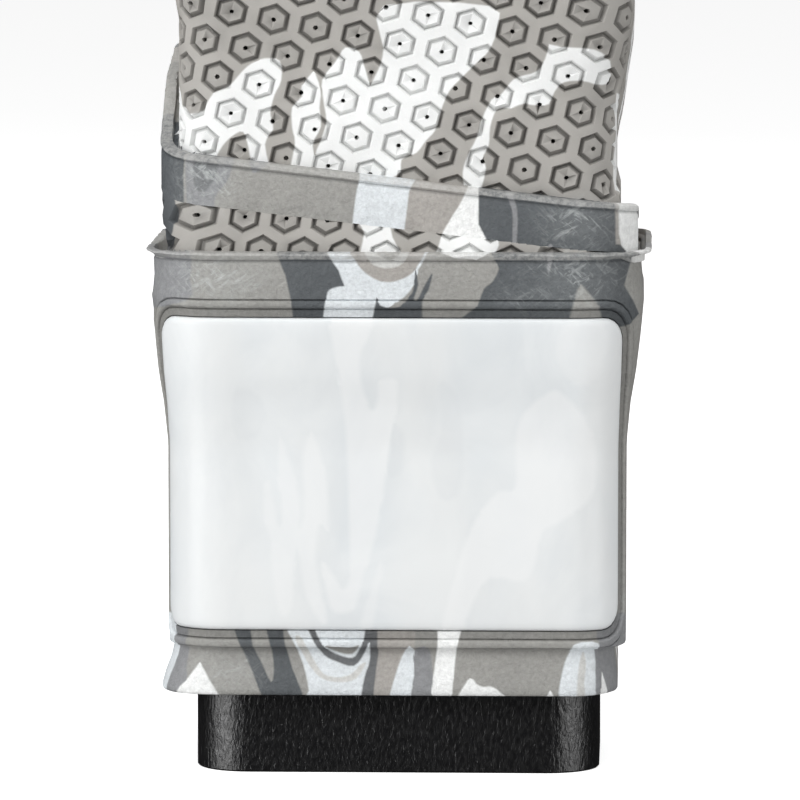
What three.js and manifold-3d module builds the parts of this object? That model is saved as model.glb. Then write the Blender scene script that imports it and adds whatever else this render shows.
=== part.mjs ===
// Slip-on rubber grip for a rectangular hollow stick shaft, mounted on a short stub of that shaft.
// Millimetres. +Z runs up the stick to its butt end, X across the wide face, -Y is the face with the badge.
// The origin is the centre of the shaft stub's cut lower face.
import * as THREE from "three";
import { mergeVertices } from "three/addons/utils/BufferGeometryUtils.js";
import Module from "manifold-3d";

const wasm = await Module();
wasm.setup();

// ---- Driving dimensions -------------------------------------------------------------------------

const ARC_STEPS = 6; // straight edges that make up each quarter-round corner
const BIG = 200; // reach of a cutting block, longer than the object

// The shaft: a 30 x 20 mm composite tube
const SHAFT = { halfWidth: 15, halfDepth: 10, corner: 4 };
const SHAFT_WALL = 2;
const SHAFT_TOP = 142;

// The mounting tape round the shaft, open along the middle of the back face
const TAPE_GAP = 0.05;
const TAPE_THICKNESS = 0.2;
const TAPE_SEAM = 1.2;
const TAPE_BOTTOM = 8;
const TAPE_TOP = 138;

// The sleeve. Heights are above the stub's cut face; a "grow" is an offset out from the plain body.
const BODY = { halfWidth: 16.15, halfDepth: 11.15, corner: 3.4 };
const BORE_GAP = 0.3;
const MOUTH = 6;
const SKIRT_TOP = 9.5;
const WAIST_TOP = 24.4; // the block is straight up to here and widens above
const PANEL_TOP = 35.4;
const COLLAR = 38.9;
const KNOB_START = 126;
const SLEEVE_TOP = 150;
const LIP_GROW = 0.55;
const SKIRT_GROW = 0.25;
const BLOCK_GROW = 0.8;
const COLLAR_GROW = 2.3;
const KNOB_STEP = 1.7; // the knob starts with a step this high
const KNOB_GROW = 4.2;
const BORE_CLEARANCE_TOP = 2.6; // room over the shaft for the butt plug's flange
const VENT_RADIUS = 1.5;

// The hard rubber cap let into the butt end, with the vent through it
const CAP = { halfWidth: 12.5, halfDepth: 7.5, corner: 5 };
const CAP_THICKNESS = 1.6;
const CAP_GAP = 0.15;
const CAP_VENT_RADIUS = 1.1;
const VENT_SIDES = 24;

// The raised helical band, which ends in a ledge along its upper edge
const LEDGE_GROW = 1.3;
const BAND_FLAT = 4.5; // height of the band's full-thickness part
const BAND_HEIGHT = 10; // from the ledge to where the band has thinned away
const BAND_ROOT = 0.5; // how far the band's solid reaches into the body, to join it
const BAND_STEP = 1.5; // distance between the sections that the band is swept through
// The ledge's height against the distance wrapped round the body, from the middle of the front face.
// It runs down to the right across the front, and merges into the collar on the back.
const LEDGE_SLOPE = 0.19;
const LEDGE_REAR_LEFT = { along: -38, height: 52 };
const LEDGE_FRONT_LEFT = { along: -15.5, height: 46.1 };
const LEDGE_END = { along: 50, height: 38.4 };
const LEDGE_TOP = 140; // the band starts up here, inside the knob

// The badge let into the front face
const BADGE = { halfWidth: 16.9, shift: -0.3, bottom: 10.9, top: 34.1, corner: 1.8 };
const BADGE_THICKNESS = 0.5;
const BADGE_GAP = 0.15;
const BADGE_WRAP = 2.4; // how far the badge bends back round the front corners

// The plug that closes the shaft's butt end
const PLUG_GAP = 0.2;
const PLUG_FLANGE = 1.6;
const PLUG_LENGTH = 26;
const PLUG_RIB = { halfWidth: 1, reach: 0.12 };
const PLUG_RIB_SPACING = 8;

// ---- Shapes -------------------------------------------------------------------------------------

// The outline of a rounded rectangle, anticlockwise from +X, grown outwards by a distance.
function outline({ halfWidth, halfDepth, corner }, grow = 0) {
  const points = [];
  const centres = [
    [1, 1],
    [-1, 1],
    [-1, -1],
    [1, -1],
  ];
  centres.forEach(([sx, sy], quarter) => {
    for (let i = 0; i <= ARC_STEPS; i++) {
      const angle = ((quarter + i / ARC_STEPS) * Math.PI) / 2;
      const x = sx * (halfWidth - corner) + (corner + grow) * Math.cos(angle);
      const y = sy * (halfDepth - corner) + (corner + grow) * Math.sin(angle);
      points.push(new THREE.Vector2(x, y));
    }
  });
  return points;
}

// A straight prism of a rounded rectangle between two heights.
function prism(section, grow, bottom, top) {
  const shape = new THREE.Shape(outline(section, grow));
  const geometry = new THREE.ExtrudeGeometry(shape, { depth: top - bottom, bevelEnabled: false });
  return geometry.translate(0, 0, bottom);
}

// A closed skin over a stack of rings, each with the same number of points, with flat ends.
function loft(rings) {
  const count = rings[0].length;
  const positions = rings.flat().flatMap((p) => [p.x, p.y, p.z]);
  const faces = [];
  for (let level = 0; level < rings.length - 1; level++) {
    for (let i = 0; i < count; i++) {
      const a = level * count + i;
      const b = level * count + ((i + 1) % count);
      faces.push(a, b, b + count, a, b + count, a + count);
    }
  }
  const last = (rings.length - 1) * count;
  for (let i = 1; i < count - 1; i++) {
    faces.push(0, i + 1, i);
    faces.push(last, last + i, last + i + 1);
  }
  const geometry = new THREE.BufferGeometry();
  geometry.setAttribute("position", new THREE.Float32BufferAttribute(positions, 3));
  return geometry.setIndex(faces);
}

// The body's outline at a height, grown outwards.
const bodyRing = (height, grow) => outline(BODY, grow).map((p) => new THREE.Vector3(p.x, p.y, height));

// ---- Solids: three.js geometry in, manifold-3d for cutting and joining, three.js geometry out ----

function solid(geometry) {
  const bare = geometry.clone();
  bare.deleteAttribute("normal");
  bare.deleteAttribute("uv");
  const merged = mergeVertices(bare, 1e-4);
  const mesh = new wasm.Mesh({
    numProp: 3,
    vertProperties: merged.attributes.position.array,
    triVerts: new Uint32Array(merged.index.array),
  });
  return new wasm.Manifold(mesh);
}

function geometryOf(manifold) {
  const mesh = manifold.getMesh();
  const geometry = new THREE.BufferGeometry();
  geometry.setAttribute("position", new THREE.BufferAttribute(mesh.vertProperties, 3));
  geometry.setIndex(new THREE.BufferAttribute(mesh.triVerts, 1));
  const flat = geometry.toNonIndexed();
  flat.computeVertexNormals();
  return flat;
}

function box(width, depth, height, x, y, z) {
  return solid(new THREE.BoxGeometry(width, depth, height).translate(x, y, z));
}

// ---- Sleeve ---------------------------------------------------------------------------------------

// The sleeve's outer levels without the helical band, as [height, grow], from the mouth to the butt.
const SLEEVE_LEVELS = [
  [MOUTH, LIP_GROW - 0.2],
  [MOUTH + 0.4, LIP_GROW],
  [SKIRT_TOP - 0.2, SKIRT_GROW],
  [SKIRT_TOP, BLOCK_GROW],
  [WAIST_TOP, BLOCK_GROW],
  [WAIST_TOP + 5.5, 1.5],
  [PANEL_TOP, 2.1],
  [COLLAR - 0.3, COLLAR_GROW],
  [COLLAR, COLLAR_GROW - 0.2],
  [COLLAR + 0.01, 0],
  [KNOB_START - 0.01, 0],
  [KNOB_START, KNOB_STEP],
  [KNOB_START + 1.6, KNOB_STEP],
  [KNOB_START + 3.4, 2.1],
  [KNOB_START + 7.4, 3.5],
  [KNOB_START + 11.4, KNOB_GROW],
  [SLEEVE_TOP - 5, KNOB_GROW],
  [SLEEVE_TOP - 2, KNOB_GROW - 0.9],
  [SLEEVE_TOP - 0.6, KNOB_GROW - 2.3],
  [SLEEVE_TOP, KNOB_GROW - 4.2],
];

// Where a distance wrapped round the body falls: the point on the body's outline and its outward normal.
function wrap(along) {
  const flatX = 2 * (BODY.halfWidth - BODY.corner);
  const flatY = 2 * (BODY.halfDepth - BODY.corner);
  const arc = (BODY.corner * Math.PI) / 2;
  const around = 2 * (flatX + flatY + 2 * arc);
  let left = (((along + flatX / 2) % around) + around) % around;
  let turn = -Math.PI / 2; // the front face's outward normal
  let corner = new THREE.Vector2(-flatX / 2, -flatY / 2);
  for (let side = 0; ; side++) {
    const flat = side % 2 ? flatY : flatX;
    const heading = new THREE.Vector2(Math.cos(turn + Math.PI / 2), Math.sin(turn + Math.PI / 2));
    const onFlat = Math.min(left, flat);
    corner = corner.clone().addScaledVector(heading, onFlat);
    left -= onFlat;
    const onArc = Math.min(left, arc);
    const normalAngle = turn + onArc / BODY.corner;
    if (left <= arc) {
      const normal = new THREE.Vector2(Math.cos(normalAngle), Math.sin(normalAngle));
      return { point: corner.addScaledVector(normal, BODY.corner), normal };
    }
    left -= arc;
    turn += Math.PI / 2;
  }
}

// The ledge's height at a distance wrapped round the body.
function ledgeHeight(along) {
  if (along < LEDGE_REAR_LEFT.along) {
    return LEDGE_REAR_LEFT.height + LEDGE_SLOPE * (LEDGE_REAR_LEFT.along - along);
  }
  const [from, to] =
    along < LEDGE_FRONT_LEFT.along
      ? [LEDGE_REAR_LEFT, LEDGE_FRONT_LEFT]
      : [LEDGE_FRONT_LEFT, LEDGE_END];
  const share = (along - from.along) / (to.along - from.along);
  return THREE.MathUtils.lerp(from.height, to.height, share);
}

// The helical band: one section swept down the whole ledge line.
function band() {
  const start = LEDGE_REAR_LEFT.along - (LEDGE_TOP - LEDGE_REAR_LEFT.height) / LEDGE_SLOPE;
  const steps = Math.ceil((LEDGE_END.along - start) / BAND_STEP);
  const fall = (BAND_HEIGHT - BAND_FLAT) / LEDGE_GROW; // how fast the band thins towards its root
  const section = [
    [LEDGE_GROW, 0],
    [LEDGE_GROW, -BAND_FLAT],
    [-BAND_ROOT, -BAND_HEIGHT - BAND_ROOT * fall],
    [-BAND_ROOT, 0],
  ];
  const rings = [];
  for (let i = 0; i <= steps; i++) {
    const along = THREE.MathUtils.lerp(start, LEDGE_END.along, i / steps);
    const { point, normal } = wrap(along);
    const top = ledgeHeight(along);
    rings.push(
      section.map(([out, rise]) => {
        const at = point.clone().addScaledVector(normal, out);
        return new THREE.Vector3(at.x, at.y, top + rise);
      }),
    );
  }
  return solid(loft(rings));
}

function sleeveOutside() {
  return solid(loft(SLEEVE_LEVELS.map(([height, grow]) => bodyRing(height, grow)))).add(band());
}

// The space that holds the badge, as a prism through the front face, grown by a clearance.
function badgeWindow(clearance) {
  const { halfWidth, shift, bottom, top, corner } = BADGE;
  const upright = {
    halfWidth: halfWidth + clearance,
    halfDepth: (top - bottom) / 2 + clearance,
    corner: corner + clearance,
  };
  const shape = new THREE.Shape(outline(upright));
  const reach = BODY.halfDepth + COLLAR_GROW;
  const geometry = new THREE.ExtrudeGeometry(shape, { depth: reach, bevelEnabled: false });
  const frontDepth = BODY.halfDepth + BLOCK_GROW - BADGE_WRAP - clearance;
  geometry.rotateX(Math.PI / 2).translate(shift, -frontDepth, (top + bottom) / 2);
  return solid(geometry);
}

// The sleeve's outside up to the collar, pulled in by a depth.
function blockCore(depth) {
  const levels = SLEEVE_LEVELS.filter(([height]) => height <= COLLAR - 0.3);
  return solid(loft(levels.map(([height, grow]) => bodyRing(height, grow - depth))));
}

// A hole down through the butt end, on the sleeve's axis.
function vent(radius) {
  const reach = 2 * (SLEEVE_TOP - SHAFT_TOP);
  const cylinder = new THREE.CylinderGeometry(radius, radius, reach, VENT_SIDES);
  return solid(cylinder.rotateX(Math.PI / 2).translate(0, 0, SLEEVE_TOP));
}

function makeSleeve() {
  const bore = solid(prism(SHAFT, BORE_GAP, MOUTH - 1, SHAFT_TOP + BORE_CLEARANCE_TOP));
  const badgeSeat = badgeWindow(BADGE_GAP).subtract(blockCore(BADGE_THICKNESS + BADGE_GAP));
  const capSeatBottom = SLEEVE_TOP - CAP_THICKNESS - CAP_GAP;
  const capSeat = solid(prism(CAP, CAP_GAP, capSeatBottom, SLEEVE_TOP + 1));
  return sleeveOutside()
    .subtract(bore)
    .subtract(vent(VENT_RADIUS))
    .subtract(capSeat)
    .subtract(badgeSeat);
}

function makeCap() {
  const disc = solid(prism(CAP, 0, SLEEVE_TOP - CAP_THICKNESS, SLEEVE_TOP));
  return disc.subtract(vent(CAP_VENT_RADIUS));
}

function makeBadge() {
  return badgeWindow(0).intersect(blockCore(0)).subtract(blockCore(BADGE_THICKNESS));
}

// ---- Shaft, tape and plug ---------------------------------------------------------------------------

function makeShaft() {
  const bore = solid(prism(SHAFT, -SHAFT_WALL, -1, SHAFT_TOP + 1));
  return solid(prism(SHAFT, 0, 0, SHAFT_TOP)).subtract(bore);
}

function makeTape() {
  const inner = solid(prism(SHAFT, TAPE_GAP, TAPE_BOTTOM - 1, TAPE_TOP + 1));
  const outer = solid(prism(SHAFT, TAPE_GAP + TAPE_THICKNESS, TAPE_BOTTOM, TAPE_TOP));
  const seam = box(TAPE_SEAM, SHAFT.halfDepth, BIG, 0, SHAFT.halfDepth, TAPE_TOP / 2);
  return outer.subtract(inner).subtract(seam);
}

function makePlug() {
  const inside = -SHAFT_WALL - PLUG_GAP;
  const stem = solid(prism(SHAFT, inside - PLUG_RIB.reach, SHAFT_TOP - PLUG_LENGTH, SHAFT_TOP + 1));
  const flangeBottom = SHAFT_TOP + PLUG_GAP;
  const flange = solid(prism(SHAFT, 0, flangeBottom, flangeBottom + PLUG_FLANGE));
  let plug = stem.add(flange);
  for (const x of [-PLUG_RIB_SPACING, 0, PLUG_RIB_SPACING]) {
    const ribDepth = 2 * (SHAFT.halfDepth - SHAFT_WALL - PLUG_GAP / 2);
    const ribTop = SHAFT_TOP + PLUG_GAP;
    const ribLength = PLUG_LENGTH - 4;
    plug = plug.add(box(2 * PLUG_RIB.halfWidth, ribDepth, ribLength, x, 0, ribTop - ribLength / 2));
  }
  return plug;
}

// ---- The assembly -----------------------------------------------------------------------------------

function piece(name, manifold, color, roughness, metalness = 0) {
  const material = new THREE.MeshStandardMaterial({ color, roughness, metalness });
  const mesh = new THREE.Mesh(geometryOf(manifold), material);
  mesh.name = name;
  return mesh;
}

const grip = new THREE.Group();
grip.name = "stick_grip";
grip.add(
  piece("grip_sleeve", makeSleeve(), "#b9b7b3", 0.62),
  piece("butt_cap", makeCap(), "#4d5052", 0.55),
  piece("badge", makeBadge(), "#e9ecee", 0.45),
  piece("mounting_tape", makeTape(), "#e8e2cf", 0.8),
  piece("shaft_stub", makeShaft(), "#141416", 0.4),
  piece("butt_plug", makePlug(), "#26262a", 0.55),
);

export default grip;
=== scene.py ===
"""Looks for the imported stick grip: the rubber skin, the badge, the shaft, the cap and a plain studio."""

import math
import random

import bpy
import numpy as np
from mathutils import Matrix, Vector
from mathutils.geometry import delaunay_2d_cdt


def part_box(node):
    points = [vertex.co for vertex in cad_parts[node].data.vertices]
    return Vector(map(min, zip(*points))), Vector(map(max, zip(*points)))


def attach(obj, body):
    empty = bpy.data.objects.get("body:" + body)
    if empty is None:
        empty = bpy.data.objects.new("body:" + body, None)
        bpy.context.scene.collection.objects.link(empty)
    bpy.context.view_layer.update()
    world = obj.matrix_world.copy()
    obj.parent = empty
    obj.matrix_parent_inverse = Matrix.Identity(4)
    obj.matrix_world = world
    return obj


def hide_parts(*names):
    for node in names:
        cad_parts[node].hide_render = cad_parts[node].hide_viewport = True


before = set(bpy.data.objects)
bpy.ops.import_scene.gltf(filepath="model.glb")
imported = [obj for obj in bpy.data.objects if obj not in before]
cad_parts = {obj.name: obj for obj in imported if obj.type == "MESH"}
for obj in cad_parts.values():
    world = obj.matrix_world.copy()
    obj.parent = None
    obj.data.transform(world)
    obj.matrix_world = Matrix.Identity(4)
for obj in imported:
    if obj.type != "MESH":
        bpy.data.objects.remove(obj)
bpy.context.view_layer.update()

# ---- Dimensions, in millimetres unless a name says otherwise ----

MM = 0.001


def box_mm(node):
    low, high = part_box(node)
    return np.array(low) / MM, np.array(high) / MM


SLEEVE_LOW, SLEEVE_HIGH = box_mm("grip_sleeve")
SHAFT_LOW, SHAFT_HIGH = box_mm("shaft_stub")
CAP_LOW, CAP_HIGH = box_mm("butt_cap")

MOUTH = SLEEVE_LOW[2]
BUTT = SLEEVE_HIGH[2]

# The plain body that everything on the skin stands out from
HALF_WIDTH = 16.15
HALF_DEPTH = 11.15
CORNER = 3.4
FLAT_X = HALF_WIDTH - CORNER
FLAT_Y = HALF_DEPTH - CORNER
ARC = CORNER * math.pi / 2
AROUND = 4 * (FLAT_X + FLAT_Y + ARC)
BACK = AROUND / 2

SKIRT_TOP = MOUTH + 3.5
COLLAR_TOP = MOUTH + 32.9
KNOB_START = BUTT - 24
STEP = 0.03  # how far apart two lines lie where the skin steps in or out
LIP_SHARE = 0.92  # the share of such a step that belongs to what is below it

# The shaft, the bore round it and the cap
SHAFT_HALF_X = SHAFT_HIGH[0]
SHAFT_HALF_Y = SHAFT_HIGH[1]
SHAFT_CORNER = 4.0
SHAFT_WALL = 2.0
BORE_GAP = 0.3
CAP_HALF_X = CAP_HIGH[0]
CAP_HALF_Y = CAP_HIGH[1]
CAP_CORNER = 5.0
CAP_GAP = 0.15
VENT_RADIUS = 1.5
CAP_VENT_RADIUS = 1.1

# The helical band
SMOOTH_BAND = 3.6  # height of its plain upper strip
LEDGE_SLOPE = 0.19
# Where its slope changes, as (distance round the skin, height above the collar)
LEDGE_BENDS = [(-38.0, 14.9), (-24.0, 12.3), (-17.8, 8.0), (-15.5, 7.2), (50.0, -0.5)]
LEDGE_BEND = 2.5  # how far each change of slope is spread
LEDGE_PACE = 0.25  # the step of the tables that hold the ledge
TURNS = 6  # turns of the ledge that are worked out
BAND_MIDDLE = 2.4  # the depth of the points scattered along the plain strip

# Hexagonal cells
PITCH = 3.13
SQUASH = 0.905  # a cell's height against a regular hexagon's
LEAN = 0.0335  # how far the columns lean, per millimetre down across the rows
ROW = PITCH * SQUASH * math.sqrt(3) / 2
# A cell from its middle out, as (distance to the flat of a hexagon, height)
CELL_RINGS = [(0.74, -0.03), (0.86, -0.28), (1.04, -0.41), (1.2, 0.0)]
PIN_RINGS = [(0.15, -0.55), (0.2, -0.03)]
PIN_SIDES = 6
CELL_WOBBLE = 0.022  # how far each point of a cell strays
FIELD_ABOVE = -3.0  # the rows of cells that are tried run from here
FIELD_BELOW = 22.0  # to this depth below the ledge
CORRECTIONS = 30  # rounds that from_lattice takes

# The badge and the frame moulded round it, measured along the skin
BADGE_HALF = 17.9
BADGE_SHIFT = -0.6  # it sits a little to one side
BADGE_LOW = MOUTH + 4.9
BADGE_HIGH = MOUTH + 28.1
BADGE_CORNER = 1.8
BADGE_MIDDLE = (BADGE_LOW + BADGE_HIGH) / 2
BADGE_TALL = (BADGE_HIGH - BADGE_LOW) / 2
# From the badge's edge outwards, as (distance, height)
FRAME_PROFILE = [
    (-0.10, -0.62), (0.02, -0.5), (0.08, -0.16), (0.56, -0.14), (0.66, -0.26), (0.74, -0.04),
    (0.86, 0.06), (1.06, 0.08), (1.24, 0.03), (1.32, -0.16), (1.42, 0.0),
]

# The cell panel round the block's sides and back
PANEL_EDGE = 19.3
PANEL_LOW = MOUTH + 4.6
PANEL_HIGH = MOUTH + 29.2
PANEL_CORNER = 1.2
PANEL_ROW = 0.9  # from the panel's top to its first row of cells


def levels_from(start, levels):
    return [(start + height, grow) for height, grow in levels]


# Levels of the skin without the band, as (height, grow)
MOUTH_LEVELS = [(0, 0.30), (0.06, 0.46), (0.2, 0.55), (0.5, 0.56), (1.4, 0.48), (2.4, 0.34)]
SKIRT_LEVELS = [(-0.2, 0.25), (-STEP, 0.25), (0, 0.62), (0.08, 0.76), (0.2, 0.8)]
SIDE_LEVELS = [(18.4, 0.8), (21.4, 1.08), (23.9, 1.5), (26.4, 1.8), (29.4, 2.1)]
COLLAR_LEVELS = [(-0.8, 2.2), (-0.6, 2.12), (-0.42, 2.28), (-0.2, 2.4), (-0.06, 2.36), (0, 2.2)]
BLOCK_LEVELS = levels_from(MOUTH, MOUTH_LEVELS) + levels_from(SKIRT_TOP, SKIRT_LEVELS)
BLOCK_LEVELS += levels_from(MOUTH, SIDE_LEVELS) + levels_from(COLLAR_TOP, COLLAR_LEVELS)
NECK_LEVELS = [(0, 1.45), (0.1, 1.62), (0.3, 1.7), (1.6, 1.75), (3.4, 2.1), (5.4, 2.8), (7.4, 3.5),
               (9.4, 4.0), (11.4, 4.2)]
END_LEVELS = [(-5.0, 4.2), (-3.6, 4.05), (-2.4, 3.6), (-1.4, 2.8), (-0.7, 1.9), (-0.2, 0.9), (0, 0.0)]
KNOB_LEVELS = levels_from(KNOB_START, NECK_LEVELS) + levels_from(BUTT, END_LEVELS)

# Down from the ledge, as (depth, grow): a bead, a fine groove, the flat strip, then a long taper
BAND_BEAD = [(0.0, 0.98), (0.07, 1.2), (0.2, 1.33), (0.4, 1.35), (0.58, 1.2), (0.8, 1.27), (1.3, 1.3)]
BAND_TAPER = [(4.5, 1.3), (6.5, 1.2), (8.4, 0.92), (10.1, 0.68), (11.9, 0.42), (13.2, 0.12), (13.8, 0.0)]
BAND_PROFILE = BAND_BEAD + BAND_TAPER

# Inwards over the top of the collar and of the ledge, as (share of a step, share of the way in, height).
# The low part is a crevice, which opens only round the sides.
COLLAR_LIP = [(0.0, 0.0, 0.0), (0.25, 0.24, 0.0), (0.4, 0.3, -0.1), (0.55, 0.34, -0.9), (0.8, 0.96, -0.9),
              (1.0, 1.0, 0.0)]
LEDGE_LIP = [(0.0, 0.0, 0.0), (0.3, 0.5, 0.0), (0.55, 0.6, -0.6), (0.8, 0.97, -0.6), (1.0, 1.0, 0.0)]
CREVICE_FROM = 14.2  # where round the skin the crevices start to open
CREVICE_FULL = 16.4


def columns(pairs):
    """A list of pairs as two arrays."""
    return np.array(pairs, float).T


# ---- The unrolled skin: u runs round the body from the middle of the front, v is height ----

SIDES = [FLAT_X, ARC, 2 * FLAT_Y, ARC, 2 * FLAT_X, ARC, 2 * FLAT_Y, ARC, FLAT_X]
ALONG = np.concatenate([[0.0], np.cumsum(SIDES)])
CENTRE_X = np.array([0, 1, 1, 1, 1, -1, -1, -1, -1, 0], float)
CENTRE_Y = np.array([-1, -1, -1, 1, 1, 1, 1, -1, -1, -1], float)
TURN = np.radians([-90, -90, 0, 0, 90, 90, 180, 180, 270, 270])


def place_on(u, half_x, half_y, corner):
    """Points on a rounded rectangle at the share of its outline that u has on the body's."""
    w = np.mod(u, AROUND)
    turn = np.interp(w, ALONG, TURN)
    x = np.interp(w, ALONG, CENTRE_X) * (half_x - corner) + corner * np.cos(turn)
    y = np.interp(w, ALONG, CENTRE_Y) * (half_y - corner) + corner * np.sin(turn)
    return x, y


def place(u, grow, z):
    """Points on the body grown outwards, as an array of xyz."""
    w = np.mod(u, AROUND)
    turn = np.interp(w, ALONG, TURN)
    x = np.interp(w, ALONG, CENTRE_X) * FLAT_X + (CORNER + grow) * np.cos(turn)
    y = np.interp(w, ALONG, CENTRE_Y) * FLAT_Y + (CORNER + grow) * np.sin(turn)
    return np.stack([x, y, z], 1)


def samples_round(arc_steps=12, flat_step=1.1):
    """Values of u once round the body, finer on its corners, from the back to the back."""
    values = []
    for low, high, turned in zip(ALONG[:-1], ALONG[1:], np.diff(TURN)):
        steps = arc_steps if turned > 0 else max(1, math.ceil((high - low) / flat_step))
        values.extend(np.linspace(low, high, steps, endpoint=False))
    values = np.array(values)
    values = np.where(values > BACK, values - AROUND, values)
    values = np.sort(np.concatenate([values, [-BACK]]))
    values = values[np.concatenate([[True], np.diff(values) > 1e-6])]
    return values[values < BACK - 1e-6]


MARGIN = 4.0  # how far the unrolled plane is carried on past the back
REACH = BACK + MARGIN - 0.5  # lines are kept this far round


def widened(values):
    """The same values, carried on a little way past the back at both ends."""
    before = values[values > BACK - MARGIN] - AROUND
    after = values[(values > -BACK) & (values < -BACK + MARGIN)] + AROUND
    return np.concatenate([before, values, [BACK], after])


ROUND = samples_round()
ROUND_WIDE = widened(ROUND)
FINE_WIDE = widened(samples_round(flat_step=0.4))

# ---- The helical ledge ----


def ledge_tables():
    """The ledge's distance along, height, slope and own length, as tables to interpolate."""
    along = np.arange(-TURNS * AROUND, 2 * AROUND, LEDGE_PACE)
    bend_at, bend_height = columns(LEDGE_BENDS)
    slopes = np.concatenate([[LEDGE_SLOPE], -np.diff(bend_height) / np.diff(bend_at)])
    slope = slopes[np.searchsorted(bend_at[:-1], along)]
    window = int(2 * LEDGE_BEND / LEDGE_PACE)
    kernel = np.hanning(window + 2)
    kernel /= kernel.sum()
    padded = np.pad(slope, window, mode="edge")
    slope = np.convolve(padded, kernel, mode="same")[window:-window]
    height = -np.cumsum(slope) * LEDGE_PACE
    height += COLLAR_TOP + bend_height[-1] - np.interp(bend_at[-1], along, height)
    length = np.cumsum(np.sqrt(1 + slope**2)) * LEDGE_PACE
    length -= np.interp(0.0, along, length)
    return along, height, slope, length


LEDGE_ALONG, LEDGE_Z, LEDGE_FALL, LEDGE_LENGTH = ledge_tables()


def ledge_height(s):
    return np.interp(s, LEDGE_ALONG, LEDGE_Z)


def tilt(s):
    """Cosine and sine of the ledge's tilt."""
    slope = np.interp(s, LEDGE_ALONG, LEDGE_FALL)
    cosine = 1 / np.sqrt(1 + slope**2)
    return cosine, slope * cosine


def on_ribbon(u, v):
    """For points of the field: the distance along the helix of the ledge above, and the depth below it."""
    s = u - TURNS * AROUND + AROUND
    for turn in range(2 - TURNS, 1):
        here = u + turn * AROUND
        s = np.where(ledge_height(here) >= v, here, s)
    return s, ledge_height(s) - v


# ---- Cells ----

# How far the lattice is shifted down and along, as (distance along the helix, shift). The shift changes
# a little on the last turn, because the real rows bend there.
ROW_START = [(-80.0, 2.06), (-16.0, 2.04), (16.0, -0.53)]
COLUMN_START = [(-80.0, -0.07), (-16.0, -2.51), (16.0, -3.65)]


def lattice_shift(s):
    rows = np.interp(s, *columns(ROW_START))
    across = np.interp(s, *columns(COLUMN_START))
    return across, rows


def to_lattice(s, d):
    """Ribbon coordinates to lattice coordinates: along the rows, and down across them."""
    cosine, sine = tilt(s)
    across, rows = lattice_shift(s)
    y = (d * cosine - rows) / SQUASH
    return np.interp(s, LEDGE_ALONG, LEDGE_LENGTH) + d * sine + LEAN * y - across, y


def from_lattice(x, y):
    """The inverse of to_lattice, by repeated correction."""
    s = np.interp(x, LEDGE_LENGTH, LEDGE_ALONG)
    for _ in range(CORRECTIONS):
        cosine, sine = tilt(s)
        across, rows = lattice_shift(s)
        d = (y * SQUASH + rows) / cosine
        s = np.interp(x + across - LEAN * y - d * sine, LEDGE_LENGTH, LEDGE_ALONG)
    return s, d


def cell_depth(x, y):
    """The depth of the cell pattern at lattice coordinates: 0 on the web, negative in a cell."""
    gap = ROW / SQUASH
    best_x = np.full(x.shape, 9.0)
    best_y = np.full(x.shape, 9.0)
    low = np.floor(y / gap)
    for row in (low, low + 1):
        odd = np.mod(row, 2) * PITCH / 2
        dx = x - odd - np.round((x - odd) / PITCH) * PITCH
        dy = y - row * gap
        nearer = dx**2 + dy**2 < best_x**2 + best_y**2
        best_x = np.where(nearer, dx, best_x)
        best_y = np.where(nearer, dy, best_y)
    dx, dy = np.abs(best_x), np.abs(best_y)
    flat = np.maximum(dx, dx / 2 + dy * math.sqrt(3) / 2)
    middle = np.hypot(dx, dy)
    depth = np.interp(flat, *columns(CELL_RINGS))
    return np.where(middle < 0.4, np.interp(middle, *columns(PIN_RINGS)), depth)


def polygon(sides, reach, start):
    """The corners of a regular polygon, the first at the angle start."""
    angles = start + np.arange(sides) * 2 * math.pi / sides
    return np.stack([reach * np.cos(angles), reach * np.sin(angles)], 1)


CELL_LOOPS = [polygon(6, apothem * 2 / math.sqrt(3), math.pi / 6) for apothem, _ in CELL_RINGS]
CELL_LOOPS += [polygon(PIN_SIDES, reach, 0.0) for reach, _ in PIN_RINGS]


def cell_centres(x_low, x_high, y_low, y_high):
    gap = ROW / SQUASH
    centres = []
    for row in range(math.floor(y_low / gap), math.ceil(y_high / gap) + 1):
        odd = (row % 2) * PITCH / 2
        for column in range(math.floor((x_low - odd) / PITCH), math.ceil((x_high - odd) / PITCH) + 1):
            centres.append((column * PITCH + odd, row * gap))
    return np.array(centres)


# ---- Distance from a rounded rectangle on the unrolled skin ----


def rounded_distance(x, y, half_x, half_y, corner):
    qx = np.abs(x) - (half_x - corner)
    qy = np.abs(y) - (half_y - corner)
    outside = np.hypot(np.maximum(qx, 0), np.maximum(qy, 0))
    return outside + np.minimum(np.maximum(qx, qy), 0) - corner


def rounded_loop(middle_x, middle_y, half_x, half_y, corner, step=0.6, corner_steps=6):
    """The outline of a rounded rectangle, finely divided."""
    points = []
    centres = [(1, 1), (-1, 1), (-1, -1), (1, -1)]
    for quarter, (sx, sy) in enumerate(centres):
        cx, cy = sx * (half_x - corner), sy * (half_y - corner)
        for i in range(corner_steps + 1):
            a = (quarter + i / corner_steps) * math.pi / 2
            points.append((cx + corner * math.cos(a), cy + corner * math.sin(a)))
    fine = []
    for (ax, ay), (bx, by) in zip(points, points[1:] + points[:1]):
        parts = max(1, round(math.hypot(bx - ax, by - ay) / step))
        fine.extend((ax + (bx - ax) * i / parts, ay + (by - ay) * i / parts) for i in range(parts))
    return np.array(fine) + (middle_x, middle_y)


def along_skin(u, v):
    """Real distance round the block's skin from the middle of the front."""
    size = np.abs(u)
    corner = np.clip(size - FLAT_X, 0, ARC)
    rest = np.maximum(size - FLAT_X - ARC, 0)
    stretch = 1 + np.interp(v, *columns(BLOCK_LEVELS)) / CORNER
    return np.sign(u) * (np.minimum(size, FLAT_X) + corner * stretch + rest)


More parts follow.
